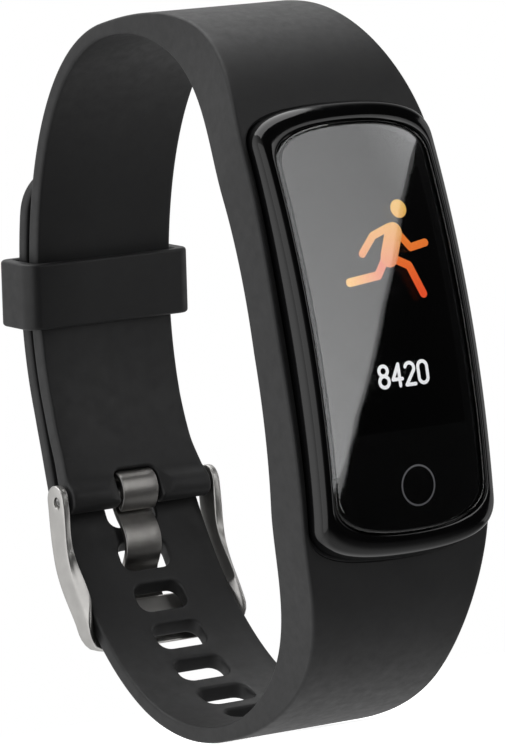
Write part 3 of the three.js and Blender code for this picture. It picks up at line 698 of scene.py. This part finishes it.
PIN = np.array([21.0, -9.25])
ARM_INNER, ARM_OUTER = 8.62, 9.45
EYE = np.array([21.3, -9.1])
EYE_RADIUS = 1.5
BAR_LEAN = 0.5
ARM_FRONT = [[(19.8, -9.1), (19.95, -11.5), (20.6, -12.8), (20.55, -14.6)],
             [(20.55, -14.6), (20.5, -16.9), (19.0, -18.8), (18.6, -21.5)],
             [(18.6, -21.5), (18.4, -22.5), (18.6, -23.2), (19.0, -24.6)]]
ARM_BACK = [[(22.8, -9.1), (23.1, -11.0), (23.35, -12.2), (23.35, -14.2)],
            [(23.35, -14.2), (23.35, -16.6), (22.1, -18.4), (21.3, -20.2)],
            [(21.3, -20.2), (20.9, -21.2), (20.7, -22.6), (20.6, -24.6)]]


def build_buckle_frame():
    """Two arms and a crossbar cut from one bent plate; flat places are (Y, along the U)."""
    foot_corner, inner_corner, leg_foot, bar_top, bar_bottom = 2.6, 0.8, -21.6, -20.0, -24.9
    top = EYE[1] + EYE_RADIUS

    def u_line(half, corner, corner_z, bottom):
        leg = np.column_stack([np.full(60, -half), np.linspace(top, corner_z, 60)])
        turn = arc(corner - half, bottom + corner, corner, 180, 270, 16)
        bar = np.column_stack([np.linspace(corner - half, half - corner, 30), np.full(30, bottom)])
        left = np.vstack([leg, turn[1:]])
        return np.vstack([left, bar[1:-1], left[::-1] * [-1, 1]])

    outer = u_line(ARM_OUTER, foot_corner, bar_bottom + foot_corner, bar_bottom)
    inner = u_line(ARM_INNER, inner_corner, bar_top + inner_corner, bar_top)

    def lean(across, line):
        """The crossbar leans as the strap beneath it does; the arms stand upright."""
        share = 1 - smoothstep(np.abs(line[:, 0]), 7.4, ARM_INNER)
        return across_y(across + BAR_LEAN * (line[:, 1] - (bar_top + bar_bottom) / 2) * share, line)

    sheet = Sheet(inner, outer, lean)
    leg_end = top - leg_foot
    corner_end = leg_end + 2.6

    def edge(curves, bar_y, s):
        line = np.vstack([bezier(c, 40) for c in curves])[::-1]
        s = np.minimum(s, sheet.length - s)
        arm = np.interp(top - s, line[:, 1], line[:, 0])
        return arm + (bar_y - arm) * smoothstep(s, leg_end - 1.0, corner_end)

    s = np.concatenate([np.arange(EYE_RADIUS + 0.4, corner_end + 0.4, 0.4)])
    s = np.concatenate([s, np.linspace(corner_end + 0.8, sheet.length - corner_end - 0.8, 16),
                        (sheet.length - s)[::-1]])
    front = np.column_stack([edge(ARM_FRONT, 20.8, s), s])
    back = np.column_stack([edge(ARM_BACK, 21.55, s), s])[::-1]
    eye_low = arc(EYE[0], EYE_RADIUS, EYE_RADIUS, 180, 360, 25)
    eye_high = arc(EYE[0], sheet.length - EYE_RADIUS, EYE_RADIUS, 0, 180, 25)
    outline = np.vstack([eye_low, back[::-1], eye_high, front[::-1]])
    pin_hole = circle(PIN[0], top - PIN[1], 0.56, 28)[::-1]
    far_hole = circle(PIN[0], sheet.length - top + PIN[1], 0.56, 28)[::-1]
    shell = Shell()
    shell.bent_plate(sheet, [(outline, 0.2), (pin_hole, 0.1), (far_hole, 0.1)], (0.45, 0.45))
    shell.build("buckle_frame_plate", "buckle", STEEL_PLATE, "steel", "buckle_frame", sharp=70)


def lathe(shell, profile, centre, axis, count=28):
    """Rings round an axis (0 is X, 1 is Y) through a centre, from (along, radius) places, capped."""
    a = np.linspace(0, 2 * np.pi, count, endpoint=False)
    rings = []
    for along, radius in profile:
        u, v, w = np.full(count, along), radius * np.cos(a), radius * np.sin(a)
        ring = np.column_stack([u, v, w] if axis == 0 else [v, u, w])
        rings.append(ring + centre)
    loops = shell.rings(rings)
    shell.cap(loops[0])
    shell.cap(loops[-1])


def build_buckle_pin():
    """A stepped spring bar: full thickness between the arms, thin tips through their eyes."""
    body_half, body_radius = 8.4, 0.58
    half = [(9.12, 0.2), (9.18, 0.32), (9.2, 0.4), (9.15, 0.48), (9.05, 0.5),
            (8.6, 0.5), (8.56, 0.53), (8.5, 0.57)]
    body = [(x, body_radius) for x in np.linspace(-body_half, body_half, 12)]
    profile = [(-x, r) for x, r in half] + body + half[::-1]
    shell = Shell()
    lathe(shell, profile, (0, PIN[0], PIN[1]), 0)
    shell.build("buckle_spring_bar", "buckle", STEEL_DARK, "steel", "buckle_pin", sharp=40)


def build_tongue():
    """One strip of sheet: up behind the pin, over it, and down in front until its end meets the shank."""
    half_thick, half_wide = 0.28, 2.1
    # The front of the roll and the upper shank follow places traced off the photo and put through
    # the camera by another program, moved in by half the sheet. The rest was set one by one.
    line = smooth_line([(21.42, -10.98), (20.98, -10.62), (20.5, -10.05), (20.2, -9.4), (20.11, -8.75),
                        (20.3, -8.0), (20.8, -7.48), (21.45, -7.36), (22.1, -7.66), (22.45, -8.3),
                        (22.55, -9.2), (22.48, -10.1), (22.28, -11.0), (21.98, -11.75), (21.62, -12.4),
                        (21.33, -13.1), (21.18, -13.8), (21.23, -14.5), (21.48, -15.3), (22.05, -16.1),
                        (22.8, -17.0), (23.1, -18.2), (22.75, -19.8), (21.98, -21.6), (21.3, -23.2),
                        (20.8, -24.5)])
    tangent = np.gradient(line, axis=0)
    tangent /= np.linalg.norm(tangent, axis=1)[:, None]
    across = np.column_stack([-tangent[:, 1], tangent[:, 0]]) * half_thick
    sheet = Sheet(line - across, line + across, across_x)
    end = sheet.length
    outline = dense(rounded_box(half_wide, end / 2, 0.3, 0.0, end / 2), 0.35)
    shell = Shell()
    shell.bent_plate(sheet, [(outline, 0.14)], (0.6, 0.2))
    shell.build("buckle_tongue_strip", "tongue", STEEL_TONGUE, "steel", "buckle_tongue", sharp=70)


# ------------------------------------------------------------------ tracker module

GLASS_HALF_WIDTH, GLASS_HALF_LENGTH = 8.6, 19.6
GLASS_FRONT = -29.2
CROWN = 200.0
GLASS_THICK = 0.66
SIDE_CROWN = 300.0


def crown(loop):
    """How far the module's face falls back at places drawn in (X, Z)."""
    return (loop[:, 1] - MODULE_Z) ** 2 / CROWN


def glass_face(flat, depth=0.0):
    flat = np.asarray(flat, float)
    return upright(flat, GLASS_FRONT + crown(flat) + flat[:, 0] ** 2 / SIDE_CROWN + depth)


def build_case():
    lip, flange_back, body_back, cavity_front = -28.92, -24.32, -21.85, -25.9

    def bezel(k, drop):
        """k runs from the side wall, 0, to the glass, 1; drop from the lip, 0, to the wall's foot, 1."""
        loop = module_outline(10.0 - 1.4 * k, 21.7 - 2.1 * k)
        height = 3.3 - 1.1 * ((loop[:, 1] - MODULE_Z) / 21.7) ** 2
        return upright(loop, lip + crown(loop) + height * drop)

    roll = smooth_line([(0.0, 1.0), (0.0, 0.72), (0.03, 0.45), (0.13, 0.24), (0.31, 0.1), (0.55, 0.03),
                        (0.74, 0.0), (0.87, 0.004), (0.93, 0.025), (0.945, 0.06)], 4)
    base = module_outline(10.0, 21.7)
    rings = [upright(base, flange_back)] + [bezel(k, drop) for k, drop in roll]
    seat, window = module_outline(8.67, 19.67), module_outline(8.0, 18.9)
    cavity, body = module_outline(8.1, 19.4), module_outline(9.0, 20.4)
    ledge = GLASS_FRONT + 1.1
    rings += [upright(seat, ledge + crown(seat)), upright(window, ledge + crown(window)),
              upright(window, cavity_front), upright(cavity, cavity_front), upright(cavity, body_back),
              upright(body, body_back), upright(body, flange_back)]
    shell = Shell()
    shell.rings(rings, close=True)
    for x, z in SCREW_PLACES:
        tube = [(-24.2, 0.5), (-24.2, 1.35), (body_back, 1.35), (body_back, 0.5)]
        shell.rings([upright(circle(x, z, radius), y) for y, radius in tube], close=True)
    shell.build("case_shell", "tracker", CASE_GLOSS, "gloss_case", "front_case", sharp=42)


GLASS_MARGIN = (1.3, 0.9, 0.5, 0.22, 0.07)  # even rows inside the rim, so that its reflection stays smooth


def build_glass():
    rim = 0.34
    shell = Shell()

    def outline(inset):
        return module_outline(GLASS_HALF_WIDTH - inset, GLASS_HALF_LENGTH - inset)

    rings = [glass_face(outline(rim + inset)) for inset in GLASS_MARGIN]
    rings += [glass_face(outline(rim - out), down) for out, down in fillet(rim, 7)]
    rings += [glass_face(outline(0.0), GLASS_THICK - 0.1), glass_face(outline(0.1), GLASS_THICK)]
    ids = shell.rings(rings)
    shell.patch([outline(rim + GLASS_MARGIN[0])], [ids[0]], (0.9, 0.9), glass_face)
    shell.patch([outline(0.1)], [ids[-1]], (1.2, 1.2), lambda p: glass_face(p, GLASS_THICK))
    shell.build("cover_glass", "tracker", GLASS, "cover_glass", "front_glass", sharp=30)


def build_print():
    """The ink border and the lit window of the display, bonded to the back of the glass."""
    front, back = GLASS_THICK + 0.05, GLASS_THICK + 0.12
    border = module_outline(8.3, 19.3)
    lit = dense(rounded_box(7.3, 12.38, 0.25, 0.0, 2.98, 4), 1.0)
    shell = Shell()
    rim = shell.rings([glass_face(border, front), glass_face(border, back)])
    edge = shell.add(glass_face(lit, front))
    shell.patch([border, lit], [rim[0], edge], (1.0, 1.0), lambda p: glass_face(p, front), 0)
    shell.patch([lit], [edge], (1.0, 1.0), lambda p: glass_face(p, front), 1)
    shell.patch([border], [rim[1]], (1.2, 1.2), lambda p: glass_face(p, back), 0)
    shell.build("glass_print_layer", "tracker", [INK, DISPLAY], "display_face")


def capsules(line, radius, caps=9):
    """Round-ended strokes along a line, as overlapping closed loops."""
    loops = []
    for (ax, az), (bx, bz) in zip(line, line[1:]):
        heading = math.degrees(math.atan2(bz - az, bx - ax))
        loops.append(np.vstack([arc(ax, az, radius, heading + 90, heading + 270, caps),
                                arc(bx, bz, radius, heading - 90, heading + 90, caps)]))
    return loops


def inlay(name, loops, material, slot, layer=0):
    """The union of flat loops, as a thin plate just behind the glass."""
    thick = 0.008
    front = GLASS_THICK + 0.035 - 0.011 * layer
    corners = np.vstack(loops)
    starts = np.cumsum([0] + [len(loop) for loop in loops])
    faces = [list(range(a, b)) for a, b in zip(starts, starts[1:])]
    found = delaunay_2d_cdt([Vector(p) for p in corners], [], faces, 1, 1e-6)
    flat = np.array([(p.x, p.y) for p in found[0]])
    triangles = [t[:] for t, of_loops in zip(found[2], found[5]) if of_loops]
    shell = Shell()
    top, bottom = shell.add(glass_face(flat, front)), shell.add(glass_face(flat, front + thick))
    sides = {}
    for t in triangles:
        shell.face([top[i] for i in t])
        shell.face([bottom[i] for i in t[::-1]])
        for a, b in zip(t, t[1:] + t[:1]):
            sides[(a, b)] = sides.get((a, b), 0) + 1
    for a, b in sides:
        if (b, a) not in sides:
            shell.face([top[a], bottom[a], bottom[b], top[b]])
    return shell.build(name, "tracker", material, slot, sharp=30)


def build_picture():
    """An exercise figure made of plain strokes, and the ring of the touch key."""
    inlay("picture_head", [circle(3.8, 11.4, 0.9, 40)], FIGURE_UPPER, "display_face")
    limbs = (("picture_front_leg", [(1.85, 6.8), (3.6, 5.9), (4.65, 3.1)], 0.42, FIGURE_LEG),
             ("picture_rear_leg", [(1.0, 6.7), (-0.1, 5.3), (-3.4, 4.95)], 0.42, FIGURE_REAR),
             ("picture_front_arm", [(3.1, 9.1), (4.2, 7.6), (6.0, 7.9)], 0.38, FIGURE_LEG))
    for name, path, thick, colour in limbs:
        inlay(name, capsules(path, thick), colour, "display_face")
    torso = capsules([(2.65, 9.25), (2.05, 8.0), (1.5, 6.85)], 0.95)
    rear_arm = capsules([(2.2, 9.75), (0.2, 9.1), (-1.4, 7.5)], 0.38)
    inlay("picture_torso", torso + rear_arm, FIGURE_UPPER, "display_face", layer=1)
    # The touch key's printed ring glows with painted light, brighter towards its top.
    inlay("touch_key_ring", ring_strokes(1.15, -14.7, 1.86, 0.085), KEY_PRINT_PAINTED_GLOW, "cover_glass")


def ring_strokes(x, z, radius, half_width, count=48):
    line = circle(x, z, radius, count)
    return capsules(np.vstack([line, line[:1]]), half_width, 3)


def digit_lines(digit):
    """The strokes of a digit in a cell 1 wide and 2 high."""
    return {
        "0": [np.vstack([arc(0.5, 1.5, 0.5, 0, 180, 13), arc(0.5, 0.5, 0.5, 180, 360, 13), [(1.0, 1.5)]])],
        "2": [np.vstack([arc(0.5, 1.5, 0.5, 160, -25, 14), [(0.0, 0.0), (1.0, 0.0)]])],
        "4": [np.array([(0.75, 0.0), (0.75, 2.0), (0.0, 0.62), (1.05, 0.62)])],
        "8": [circle(0.5, 1.52, 0.46, 24), circle(0.5, 0.52, 0.52, 26)],
    }[digit]


def build_digits():
    size, gap, left, foot, stroke = 1.02, 1.5, -1.9, -5.25, 0.17
    loops = []
    for place, digit in enumerate("8420"):
        for line in digit_lines(digit):
            if digit == "8":
                line = np.vstack([line, line[:1]])
            loops += capsules(line * size + [left + gap * place, foot], stroke, 6)
    inlay("picture_digits", loops, DIGITS, "display_face")


# ------------------------------------------------------------------ module back

SCREW_PLACES = [(-6.4, -16.7), (6.4, -16.7), (-6.4, 18.1), (6.4, 18.1)]
SCREW_NAMES = ["lower_left", "lower_right", "upper_left", "upper_right"]
CONTACT_PLACES = {"left": (-2.2, -9.8), "right": (2.2, -9.8)}
COVER_FRONT, COVER_BACK, BUMP_BACK = -21.55, -20.8, -20.2
SENSOR_BOX = (3.9, 5.2, 2.2)


def build_back_cover():
    edge, rim = 0.22, 0.12
    shell = Shell()

    def outline(inset):
        return module_outline(9.0 - inset, 20.4 - inset)

    def bump(inset):
        return split_sides(rounded_box(5.6 - inset, 7.0 - inset, 3.2 - inset, 0.0, MODULE_Z, 14), 8)

    def sensor(inset):
        half_x, half_z, corner = SENSOR_BOX
        return split_sides(rounded_box(half_x + inset, half_z + inset, corner + inset, 0.0, MODULE_Z, 12), 8)

    sides = [upright(outline(edge - out), COVER_FRONT + down) for out, down in fillet(edge)]
    sides += [upright(outline(edge - out), COVER_BACK - down) for out, down in fillet(edge)[::-1]]
    ids = shell.rings(sides)
    front_loops, front_ids = [outline(edge)], [ids[0]]
    back_loops, back_ids = [outline(edge)], [ids[-1]]
    wells = [(x, z, 1.1, 0.62) for x, z in SCREW_PLACES]
    wells += [(x, z, 0.95, 0.95) for x, z in CONTACT_PLACES.values()]
    for x, z, wide, narrow in wells:
        rings = [upright(circle(x, z, wide + rim - out), COVER_BACK - down) for out, down in fillet(rim, 3)]
        if narrow < wide:
            shelf = COVER_BACK - 0.42
            rings += [upright(circle(x, z, wide), shelf), upright(circle(x, z, narrow), shelf)]
        rings.append(upright(circle(x, z, narrow), COVER_FRONT))
        ids = shell.rings(rings)
        back_loops.append(circle(x, z, wide + rim))
        back_ids.append(ids[0])
        front_loops.append(circle(x, z, narrow))
        front_ids.append(ids[-1])
    step = [(-0.12, 0.0), (-0.04, 0.05), (0.0, 0.14)]
    crest = [(0.0, 0.28), (0.05, 0.42), (0.17, 0.53), (0.34, 0.59), (0.52, 0.6)]
    ids = shell.rings([upright(bump(inset), COVER_BACK + up) for inset, up in step + crest])
    back_loops.append(bump(step[0][0]))
    back_ids.append(ids[0])
    opening = shell.rings([upright(sensor(rim - out), BUMP_BACK - down) for out, down in fillet(rim, 3)]
                          + [upright(sensor(0.0), COVER_FRONT)])
    front_loops.append(sensor(0.0))
    front_ids.append(opening[-1])
    shell.patch([bump(crest[-1][0]), sensor(rim)], [ids[-1], opening[0]], (0.8, 0.8),
                lambda p: upright(p, BUMP_BACK))
    shell.patch(back_loops, back_ids, (1.2, 1.2), lambda p: upright(p, COVER_BACK))
    shell.patch(front_loops, front_ids, (1.6, 1.6), lambda p: upright(p, COVER_FRONT))
    shell.build("back_cover_plate", "tracker", BLACK_PLASTIC, "black_plastic", "back_cover", sharp=40)


def build_sensor_window():
    front, edge = -21.0, 0.18
    half_x, half_z, corner = 3.8, 5.1, 2.1

    def outline(inset):
        return split_sides(rounded_box(half_x - inset, half_z - inset, corner - inset, 0.0, MODULE_Z, 12), 8)

    def face(flat, down=0.0):
        fall = 0.05 * (flat[:, 0] / half_x) ** 2 + 0.08 * ((flat[:, 1] - MODULE_Z) / half_z) ** 2
        return upright(flat, BUMP_BACK - 0.01 - fall - down)

    shell = Shell()
    rounded = [face(outline(edge - out), down) for out, down in fillet(edge)]
    ids = shell.rings(rounded + [upright(outline(0.0), front)])
    shell.patch([outline(edge)], [ids[0]], (0.7, 0.7), face)
    shell.patch([outline(0.0)], [ids[-1]], (1.2, 1.2), lambda p: upright(p, front))
    shell.build("sensor_window_lens", "tracker", SENSOR_GLASS, "sensor_lens", "sensor_window", sharp=60)


def build_screw(name, x, z):
    head, edge, slot_depth, arm, wide = 1.0, 0.16, 0.2, 0.6, 0.13
    back, under = COVER_BACK - 0.02, COVER_BACK - 0.4
    corners = [(arm, wide), (wide, wide), (wide, arm), (-wide, arm), (-wide, wide), (-arm, wide),
               (-arm, -wide), (-wide, -wide), (-wide, -arm), (wide, -arm), (wide, -wide), (arm, -wide)]
    cross = dense(np.array(corners) + [x, z], 0.3)
    shell = Shell()
    profile = [(head - edge + out, back - down) for out, down in fillet(edge)]
    profile += [(head, under), (0.46, under), (0.42, under - 0.15)]
    for y in np.arange(under - 0.3, -23.1, -0.36):
        profile += [(0.42, y), (0.36, y - 0.18)]
    profile += [(0.3, -23.3), (0.16, -23.4)]
    ids = shell.rings([upright(circle(x, z, radius), y) for radius, y in profile])
    shell.cap(ids[-1])
    slot = shell.rings([upright(cross, back), upright(cross, back - slot_depth)])
    shell.patch([circle(x, z, head - edge), cross], [ids[0], slot[0]], (0.3, 0.3), lambda p: upright(p, back))
    shell.patch([cross], [slot[1]], (0.3, 0.3), lambda p: upright(p, back - slot_depth))
    shell.build(f"screw_{name}", "tracker", STEEL_DARK, "steel", f"back_screw_{name}", sharp=35)


def build_contact(side, x, z):
    profile = [(-20.75, 0.18), (-20.752, 0.4), (-20.77, 0.58), (-20.82, 0.7), (-20.9, 0.77), (-21.0, 0.8),
               (-21.7, 0.8)]
    shell = Shell()
    lathe(shell, profile, (x, 0, z), 1)
    shell.build(f"contact_{side}", "tracker", GOLD, "gold", f"charging_contact_{side}", sharp=40)


# ------------------------------------------------------------------ pieces that stay as the CAD made them

def finish_inside():
    """Gives each CAD node that is still shown its own node-based finish."""
    finishes = {
        FOAM: ["glass_adhesive", "case_seal", "battery_tape"],
        DISPLAY: ["display_panel"],
        BACKLIGHT: ["display_backlight"],
        GOLD: ["touch_key_pad"],
        FLEX: ["display_flex"],
        BLACK_PLASTIC: ["inner_frame", "flex_connector", "sensor_light_wall"],
        CELL_FOIL: ["battery_cell", "clock_crystal"],
        BOARD: ["battery_board", "main_board", "sensor_board"],
        CHIP: ["processor_chip", "memory_chip", "motion_sensor_chip", "charger_chip", "sensor_photodiode"],
        CERAMIC: ["antenna_chip"],
        STEEL_DARK: ["vibration_motor_case", "vibration_motor_cover"],
        HEAVY_METAL: ["vibration_motor_shaft", "vibration_motor_rotor"],
        LED: ["sensor_led_upper", "sensor_led_lower"],
    }
    for material, nodes in finishes.items():
        for node in nodes:
            obj = bpy.data.objects[node]
            if not obj.material_slots:
                obj.data.materials.append(material)
            for each in obj.material_slots:
                each.material = material


build_strap()
build_keeper()
build_buckle_frame()
build_buckle_pin()
build_tongue()
build_case()
build_glass()
build_print()
build_picture()
build_digits()
build_back_cover()
build_sensor_window()
for screw, (screw_x, screw_z) in zip(SCREW_NAMES, SCREW_PLACES):
    build_screw(screw, screw_x, screw_z)
for contact, (contact_x, contact_z) in CONTACT_PLACES.items():
    build_contact(contact, contact_x, contact_z)
finish_inside()


# ------------------------------------------------------------------ floor, light and camera

def build_stage():
    """A plain pale floor, even to the camera, that lights the object more from behind than from in front."""
    low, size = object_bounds()[0].z - 0.0001, 3.0
    mesh = bpy.data.meshes.new("floor")
    mesh.from_pydata([(-size, -size, low), (size, -size, low), (size, size, low), (-size, size, low)], [],
                     [(0, 1, 2, 3)])
    floor = bpy.data.objects.new("floor", mesh)
    scene.collection.objects.link(floor)
    s = Shade("pale_floor")
    color = s.colours(s.noise(3.0, 2.0), (0.3, (0.86, 0.86, 0.86)), (0.7, (0.9, 0.9, 0.9)))
    seen = s.surface(color, s.remap(s.noise(20.0), 0.7, 0.9), metallic=0.0)
    seen.inputs["Emission Color"].default_value = (1, 1, 1, 1)
    seen.inputs["Emission Strength"].default_value = 0.86
    split = s.add("ShaderNodeSeparateXYZ")
    s.link(s.coords, split.inputs["Vector"])
    bounced = s.add("ShaderNodeEmission")
    s.link(s.remap(split.outputs["Y"], 0.015, 0.6, -0.085, -0.03), bounced.inputs["Strength"])
    path = s.add("ShaderNodeLightPath")
    mix = s.add("ShaderNodeMixShader")
    s.link(path.outputs["Is Camera Ray"], mix.inputs["Fac"])
    s.link(bounced.outputs["Emission"], mix.inputs[1])
    s.link(seen.outputs["BSDF"], mix.inputs[2])
    s.link(mix.outputs["Shader"], s.out.inputs["Surface"])
    mesh.materials.append(s.material)
    floor.visible_glossy = False
    floor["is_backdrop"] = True


def area_light(name, place, target, size, radiance):
    data = bpy.data.lights.new(name, "AREA")
    data.shape = "RECTANGLE"
    data.size, data.size_y = size
    data.energy = radiance * math.pi * size[0] * size[1]
    light = bpy.data.objects.new(name, data)
    scene.collection.objects.link(light)
    light.location = place
    light.rotation_mode = "QUATERNION"
    aim = (Vector(target) - Vector(place)).to_track_quat("-Z", "Y")
    light.rotation_quaternion = aim
    light.visible_camera = False
    return light


def build_light():
    """Soft studio light: bright behind, below and to the left, dark in front, white past the object."""
    world = bpy.data.worlds.new("studio")
    scene.world = world
    world.use_nodes = True
    tree = world.node_tree
    tree.nodes.clear()
    direction = tree.nodes.new("ShaderNodeTexCoord")
    split = tree.nodes.new("ShaderNodeSeparateXYZ")
    tree.links.new(direction.outputs["Generated"], split.inputs["Vector"])

    def slope(axis, low, high, at_low, at_high):
        """Light that goes from one strength to another between two places on an axis of the direction."""
        ramp = tree.nodes.new("ShaderNodeMapRange")
        ramp.interpolation_type = "SMOOTHSTEP"
        for name, value in (("From Min", low), ("From Max", high), ("To Min", at_low), ("To Max", at_high)):
            ramp.inputs[name].default_value = value
        tree.links.new(split.outputs[axis], ramp.inputs["Value"])
        return ramp.outputs["Result"]

    total = tree.nodes.new("ShaderNodeMath")
    lower_left = tree.nodes.new("ShaderNodeMath")
    from_below = slope("Z", -0.95, -0.5, 0.75, 0.0)
    from_left = slope("X", -0.9, -0.3, 0.7, 0.0)
    from_behind = slope("Y", -0.1, 0.6, 0.012, 0.75)
    tree.links.new(from_below, lower_left.inputs[0])
    tree.links.new(from_left, lower_left.inputs[1])
    tree.links.new(from_behind, total.inputs[0])
    tree.links.new(lower_left.outputs["Value"], total.inputs[1])
    out = tree.nodes.new("ShaderNodeOutputWorld")
    mix = tree.nodes.new("ShaderNodeMixShader")
    soft = tree.nodes.new("ShaderNodeBackground")
    white = tree.nodes.new("ShaderNodeBackground")
    path = tree.nodes.new("ShaderNodeLightPath")
    white.inputs["Color"].default_value = (1, 1, 1, 1)
    tree.links.new(total.outputs["Value"], soft.inputs["Strength"])
    tree.links.new(path.outputs["Is Camera Ray"], mix.inputs["Fac"])
    tree.links.new(soft.outputs[0], mix.inputs[1])
    tree.links.new(white.outputs[0], mix.inputs[2])
    tree.links.new(mix.outputs[0], out.inputs["Surface"])
    area_light("overhead", (0.0, 0.05, 0.6), (0, 0, 0), (0.7, 0.7), 2.2)
    area_light("side_left", (-0.55, -0.25, 0.03), (0, 0, 0), (0.7, 0.9), 0.7)
    area_light("side_right", (0.6, -0.14, 0.0), (0, 0, 0), (0.36, 0.8), 0.9)


def mirrored(x, z, distance):
    """Where the line of sight through a place on the glass goes after the glass, in metres."""
    face = glass_face(np.array([[x, z]]))[0] * MM
    normal = Vector((2 * x / SIDE_CROWN, -1, 2 * (z - MODULE_Z) / CROWN)).normalized()
    sight = (Vector(face) - CAMERA_PLACE).normalized()
    bounced = sight - 2 * sight.dot(normal) * normal
    return Vector(face) + bounced * (-distance - face[1]) / bounced.y


def build_softbox():
    """A tall soft light in front whose slanting edge crosses the glass as the border of a reflection."""
    distance, left, top = 0.5, 0.17, 0.36
    slant = ((8.3, 19.4), (4.2, 12.1), (-0.5, 2.2), (-5.2, -7.6), (-9.6, -17.6))
    edge = [mirrored(x, z, distance) for x, z in slant]
    corners = [Vector((left, -distance, top)), Vector((edge[0].x + 0.05, -distance, top)), *edge,
               Vector((left, -distance, edge[-1].z))]
    mesh = bpy.data.meshes.new("softbox")
    mesh.from_pydata(corners, [], [list(range(len(corners)))])
    box = bpy.data.objects.new("softbox", mesh)
    scene.collection.objects.link(box)
    s = Shade("softbox")
    split = s.add("ShaderNodeSeparateXYZ")
    s.link(s.coords, split.inputs["Vector"])
    glow = s.add("ShaderNodeEmission")
    product = s.add("ShaderNodeMath", operation="MULTIPLY")
    s.link(s.remap(split.outputs["Z"], 2.7, 1.6, -0.15, 0.3), product.inputs[0])
    s.link(s.remap(split.outputs["X"], 1.25, 0.6, 0.2, 0.38), product.inputs[1])
    s.link(product.outputs["Value"], glow.inputs["Strength"])
    s.link(glow.outputs["Emission"], s.out.inputs["Surface"])
    mesh.materials.append(s.material)
    box.visible_camera = False
    box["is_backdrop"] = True


CAMERA_TURN, CAMERA_RISE, CAMERA_ROLL = math.radians(33.0), math.radians(3.2), math.radians(-9.6)
CAMERA_AIM = Vector((0.0005, -0.0034, -0.0005))
CAMERA_DISTANCE = 0.545
CAMERA_LENS = 270.0
LEVEL_SHARE = math.cos(CAMERA_RISE)
FORWARD = Vector((math.sin(CAMERA_TURN) * LEVEL_SHARE, math.cos(CAMERA_TURN) * LEVEL_SHARE,
                  math.sin(CAMERA_RISE)))
CAMERA_PLACE = CAMERA_AIM - FORWARD * CAMERA_DISTANCE


def build_camera():
    """A long lens from the lower left front, looking a little upwards and tipped a little."""
    data = bpy.data.cameras.new("camera")
    camera = bpy.data.objects.new("camera", data)
    scene.collection.objects.link(camera)
    scene.camera = camera
    level_right = Vector((math.cos(CAMERA_TURN), -math.sin(CAMERA_TURN), 0.0))
    level_up = level_right.cross(FORWARD)
    right = level_right * math.cos(CAMERA_ROLL) + level_up * math.sin(CAMERA_ROLL)
    axes = Matrix((right, right.cross(FORWARD), -FORWARD)).transposed()
    camera.matrix_world = Matrix.Translation(CAMERA_PLACE) @ axes.to_4x4()
    data.sensor_width = 36.0
    data.lens = CAMERA_LENS
    data.clip_start, data.clip_end = 0.01, 20.0


build_camera()
build_light()
build_softbox()
build_stage()
scene.view_settings.view_transform = "Standard"
